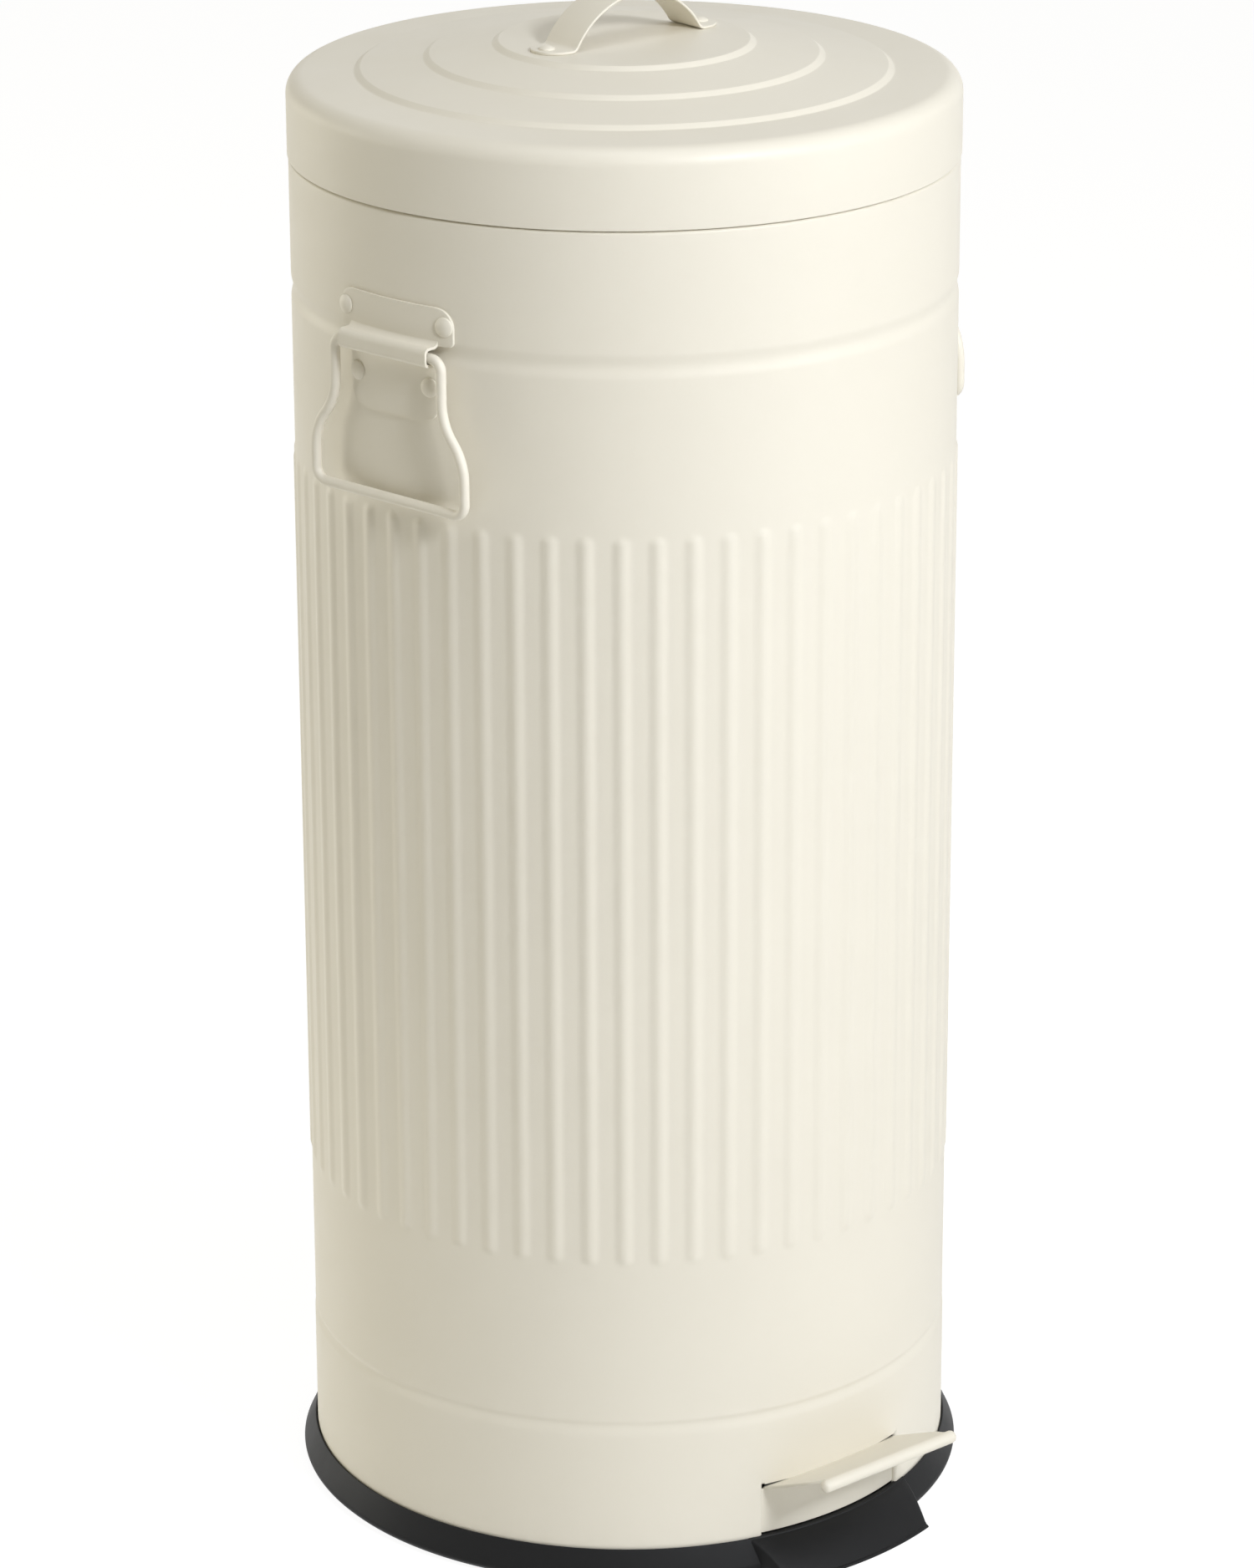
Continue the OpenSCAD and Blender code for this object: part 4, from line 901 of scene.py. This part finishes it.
# The collar and the bucket inside
PAIL_WIRE_R = 2.0
PAIL_WIRE_UP = 4.8
PAIL_RIM = level("bucket_bail", TOP) - PAIL_WIRE_UP - PAIL_WIRE_R
PAIL_FLOOR = PAIL_RIM - 567.3
PAIL_R = BODY_R - 12.5
PAIL_TOP_R = 122.0
PAIL_FOOT_R = 112.0
PAIL_BEVEL = 4.0
PAIL_T = 2.0
RIM_T = 2.5
RIM_LIP = 1.0
EAR_X = 123.5
EAR_T = 4.0
EAR_HALF = 7.0
EAR_HIGH = 6.5
HOOK_R = 4.0
HOOK_REACH = 6.1
BUCKET_WIRE_R = PAIL_R - 3.0


def build_bucket():
    """The pail, which widens to a flat rim with a small lip, and the two ears for its wire."""
    lip = PAIL_R - RIM_LIP
    lathe("bucket_pail", path([
        (AXIS_R, PAIL_FLOOR), (PAIL_FOOT_R - PAIL_BEVEL, PAIL_FLOOR, 3.5),
        (PAIL_FOOT_R, PAIL_FLOOR + PAIL_BEVEL, 2.0), (PAIL_TOP_R, PAIL_RIM - 6, 1.0),
        (PAIL_TOP_R + 0.4, PAIL_RIM, 0.8), (lip, PAIL_RIM, 0.3), (lip, PAIL_RIM - 0.2, 0.1),
        (PAIL_R, PAIL_RIM - 0.2, 0.1), (PAIL_R, PAIL_RIM + RIM_T, 1.1),
        (PAIL_TOP_R - PAIL_T, PAIL_RIM + RIM_T, 1.5),
        (PAIL_FOOT_R - PAIL_T, PAIL_FLOOR + PAIL_BEVEL + PAIL_T, 3.5),
        (AXIS_R, PAIL_FLOOR + PAIL_T)], 12), GREY, "bucket", ["bucket"], 200, False)
    ears = Piece()
    hood = path([(-EAR_HALF, 0), (-EAR_HALF, EAR_HIGH, 3.0), (EAR_HALF, EAR_HIGH, 3.0), (EAR_HALF, 0)], 15)
    for side in (-1, 1):
        faces = []
        for x in (side * EAR_X - EAR_T / 2, side * EAR_X + EAR_T / 2):
            faces.append(np.stack([np.full(len(hood), x), hood[:, 0], PAIL_RIM + 1.5 + hood[:, 1]], -1))
        ears.grid(closed_ends(np.array(faces)), wrap_v=True)
    ears.build("bucket_ears", GREY, "bucket", (), 35)


def build_bucket_wire():
    """The bucket's wire handle, laid down flat on the rim, with a hook through each ear."""
    hook_turn = math.asin(HOOK_R / (BUCKET_WIRE_R - HOOK_R))
    hook_x = (BUCKET_WIRE_R - HOOK_R) * math.cos(hook_turn)
    half = [(hook_x - HOOK_REACH, 0), (hook_x - HOOK_REACH / 2, 0), (hook_x, 0)]
    half += arc(hook_x, -HOOK_R, HOOK_R, math.pi / 2, -hook_turn, 9)
    sweep = arc(0, 0, BUCKET_WIRE_R, -hook_turn, hook_turn - math.pi, 121)[:-1]
    xy = np.array(half + sweep + [(-x, y) for x, y in half[::-1]])
    z = np.full(len(xy), PAIL_RIM + PAIL_WIRE_UP)
    piece = Piece()
    piece.grid(tube(np.stack([xy[:, 0], xy[:, 1], z], -1), PAIL_WIRE_R, 16), wrap_v=True)
    piece.build("bucket_wire", STEEL, "bucket_handle", ["bucket_bail"], 60)


COLLAR_IN = 128.0
COLLAR_STEP = 138.4
COLLAR_T = 1.6


def build_collar():
    """The plastic collar over the neck's edge, with the ledge that the bucket hangs in."""
    over, foot = NECK_TOP + 1.85, NECK_TOP + 0.1
    ledge, lip = SHOULDER_Z + 8.0, SHOULDER_Z - 0.6
    outside = NECK_R + 0.1
    lathe("collar", path([
        (outside, foot), (outside, over, 0.8), (COLLAR_STEP, over, 0.7), (COLLAR_STEP, ledge, 0.8),
        (COLLAR_IN, ledge, 0.6), (COLLAR_IN, lip, 0.5), (COLLAR_IN + COLLAR_T, lip, 0.5),
        (COLLAR_IN + COLLAR_T, ledge - COLLAR_T, 0.5), (COLLAR_STEP + COLLAR_T, ledge - COLLAR_T, 0.4),
        (COLLAR_STEP + COLLAR_T, foot)], 15), BLACK, "casing", ["rim_collar"], 240)


# CAD nodes that are shown as they are, with the width of their rounded edges in millimetres
WELD_M = 0.00001
EDGE_DEGREES = 35
KEPT = {
    "foot_ring": (RUBBER, 0), "lid_buffers": (RUBBER, 0), "rod_cap": (BLACK, 0),
    "fulcrum_bracket": (STEEL, 0.4), "fulcrum_pin": (STEEL, 0), "bracket_screws": (STEEL, 0),
    "rod_guides": (STEEL, 0.4), "hinge_pin": (STEEL, 0), "pedal_lever": (STEEL, 0.5),
    "push_rod": (STEEL, 0), "hinge_bracket": (CREAM, 0.5), "hinge_bracket_rivets": (CREAM, 0),
    "hinge_leaf": (CREAM, 0.5), "hinge_leaf_rivets": (CREAM, 0),
}


def dress(node, material, width):
    """Gives a CAD node its finish, and rounded edges where a width is given."""
    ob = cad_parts[node]
    ob.data.materials.clear()
    ob.data.materials.append(material)
    weld = ob.modifiers.new("weld", "WELD")
    weld.merge_threshold = WELD_M
    if width:
        bevel = ob.modifiers.new("bevel", "BEVEL")
        bevel.width = width / MM_PER_M
        bevel.segments = 2
        bevel.limit_method = "ANGLE"
        bevel.angle_limit = math.radians(EDGE_DEGREES)


# The stage: a floor and surroundings that are white to the camera and in reflections
PHOTO_TURN = -40.0
SHOWN_FLOOR = 0.94
SHADOW_SHARE = 0.16
SKY = 0.15
SKY_COLOR = (1.0, 0.86, 0.46)
LAMP_COLOR = (0.925, 0.95, 1.0)
RIM_COLOR = (0.98, 0.95, 0.84)
BOUNCE = 0.9
FLOOR_HALF = 6.0
AIM_Z = 0.36


def seen_directly(tree):
    """1 for rays that show the background: from the camera, or off gloss or through glass."""
    kind = tree.nodes.new("ShaderNodeLightPath")
    total = kind.outputs["Is Camera Ray"]
    for name in ("Is Glossy Ray", "Is Transmission Ray"):
        node = tree.nodes.new("ShaderNodeMath")
        node.operation = "MAXIMUM"
        tree.links.new(total, node.inputs[0])
        tree.links.new(kind.outputs[name], node.inputs[1])
        total = node.outputs[0]
    return total


def shader_mix(tree, amount, first, second):
    """Two shaders mixed by an amount."""
    node = tree.nodes.new("ShaderNodeMixShader")
    tree.links.new(amount, node.inputs["Fac"])
    tree.links.new(first, node.inputs[1])
    tree.links.new(second, node.inputs[2])
    return node.outputs["Shader"]


def matte(tree, value):
    """A plain grey shader of one brightness."""
    node = tree.nodes.new("ShaderNodeBsdfDiffuse")
    node.inputs["Color"].default_value = (value, value, value, 1)
    return node.outputs["BSDF"]


def floor_paint():
    """Pale paint for the light that bounces; nearly white, with the shadow left in, where it is seen."""
    mat = bpy.data.materials.new("floor_paint")
    mat.use_nodes = True
    tree = mat.node_tree
    tree.nodes.clear()
    glow = tree.nodes.new("ShaderNodeEmission")
    glow.inputs["Strength"].default_value = SHOWN_FLOOR
    both = tree.nodes.new("ShaderNodeAddShader")
    tree.links.new(glow.outputs["Emission"], both.inputs[0])
    tree.links.new(matte(tree, SHADOW_SHARE), both.inputs[1])
    out = tree.nodes.new("ShaderNodeOutputMaterial")
    mixed = shader_mix(tree, seen_directly(tree), matte(tree, BOUNCE), both.outputs["Shader"])
    tree.links.new(mixed, out.inputs["Surface"])
    return mat


def build_floor():
    """A square floor, far wider than the picture."""
    mesh = bpy.data.meshes.new("floor")
    corners = [(x * FLOOR_HALF, y * FLOOR_HALF, 0) for x, y in ((-1, -1), (1, -1), (1, 1), (-1, 1))]
    mesh.from_pydata(corners, [], [(0, 1, 2, 3)])
    mesh.materials.append(floor_paint())
    floor = bpy.data.objects.new("floor", mesh)
    bpy.context.scene.collection.objects.link(floor)


def build_sky():
    """A dim warm sky for the light, and plain white where it is seen."""
    world = bpy.data.worlds.new("studio")
    world.use_nodes = True
    bpy.context.scene.world = world
    tree = world.node_tree
    tree.nodes.clear()
    shades = []
    for strength, color in ((SKY, SKY_COLOR), (1.0, (1, 1, 1))):
        node = tree.nodes.new("ShaderNodeBackground")
        node.inputs["Color"].default_value = (*color, 1)
        node.inputs["Strength"].default_value = strength
        shades.append(node.outputs["Background"])
    out = tree.nodes.new("ShaderNodeOutputWorld")
    tree.links.new(shader_mix(tree, seen_directly(tree), *shades), out.inputs["Surface"])


def softbox(name, turn, distance, height, size, power, color, shines=True):
    """A soft lamp at a turn from the photo's viewing direction, positive to the right of the picture."""
    data = bpy.data.lights.new(name, "AREA")
    data.shape = "RECTANGLE"
    data.size, data.size_y = size
    data.energy = power
    data.color = color
    a = math.radians(PHOTO_TURN + turn)
    place = Vector((distance * math.sin(a), -distance * math.cos(a), height))
    aim = Vector((0, 0, AIM_Z)) - place
    ob = bpy.data.objects.new(name, data)
    ob.matrix_world = Matrix.Translation(place) @ aim.to_track_quat("-Z", "Y").to_matrix().to_4x4()
    ob.visible_camera = False
    ob.visible_glossy = shines
    bpy.context.scene.collection.objects.link(ob)


def build_lamps():
    """Name, turn, distance, height, size and power of each lamp, in degrees, metres and watts."""
    softbox("key", 36, 2.6, 2.1, (0.5, 0.5), 55, LAMP_COLOR)
    softbox("side", 62, 2.8, 1.2, (1.4, 2.0), 25, LAMP_COLOR)
    softbox("rim", -114, 3.0, 0.7, (2.4, 1.4), 34, RIM_COLOR)
    softbox("low", -66, 0.52, 0.06, (0.5, 0.12), 0.21, RIM_COLOR, shines=False)
    softbox("top", 10, 0.6, 3.0, (1.6, 1.6), 20, LAMP_COLOR)


def build_camera():
    """The photo's camera, solved from the circles of the lid, the wall and the base."""
    distance, height = 2.42002, 1.1952 + EDGE_Z / 1000
    tilt, roll = 0.3505714, -0.00377207
    focal_px, image_px, sensor = 6817.53, 1876, 36.0
    ahead = np.array([0.0, math.cos(tilt), -math.sin(tilt)])
    right = np.array([1.0, 0.0, 0.0])
    up = np.cross(right, ahead)
    axes = np.stack([math.cos(roll) * right + math.sin(roll) * up,
                     math.cos(roll) * up - math.sin(roll) * right, -ahead], 1)
    turn = np.array(Matrix.Rotation(math.radians(PHOTO_TURN), 3, "Z"))
    pose = np.eye(4)
    pose[:3, :3] = turn @ axes
    pose[:3, 3] = turn @ np.array([0.0, -distance, height])
    data = bpy.data.cameras.new("camera")
    data.sensor_width = sensor
    data.lens = focal_px / image_px * sensor
    data.clip_end = 50
    camera = bpy.data.objects.new("camera", data)
    camera.matrix_world = Matrix(pose.tolist())
    bpy.context.scene.collection.objects.link(camera)
    bpy.context.scene.camera = camera


build_wall()
build_lid()
build_strap()
for side, turn in (("left", -HANDLE_TURN), ("right", HANDLE_TURN)):
    build_bracket(side, turn)
    build_bail(side, turn)
build_base()
build_pedal()
build_bucket()
build_bucket_wire()
build_collar()
for node, (material, width) in KEPT.items():
    dress(node, material, width)
build_floor()
build_sky()
build_lamps()
build_camera()
bpy.context.scene.view_settings.view_transform = "Standard"
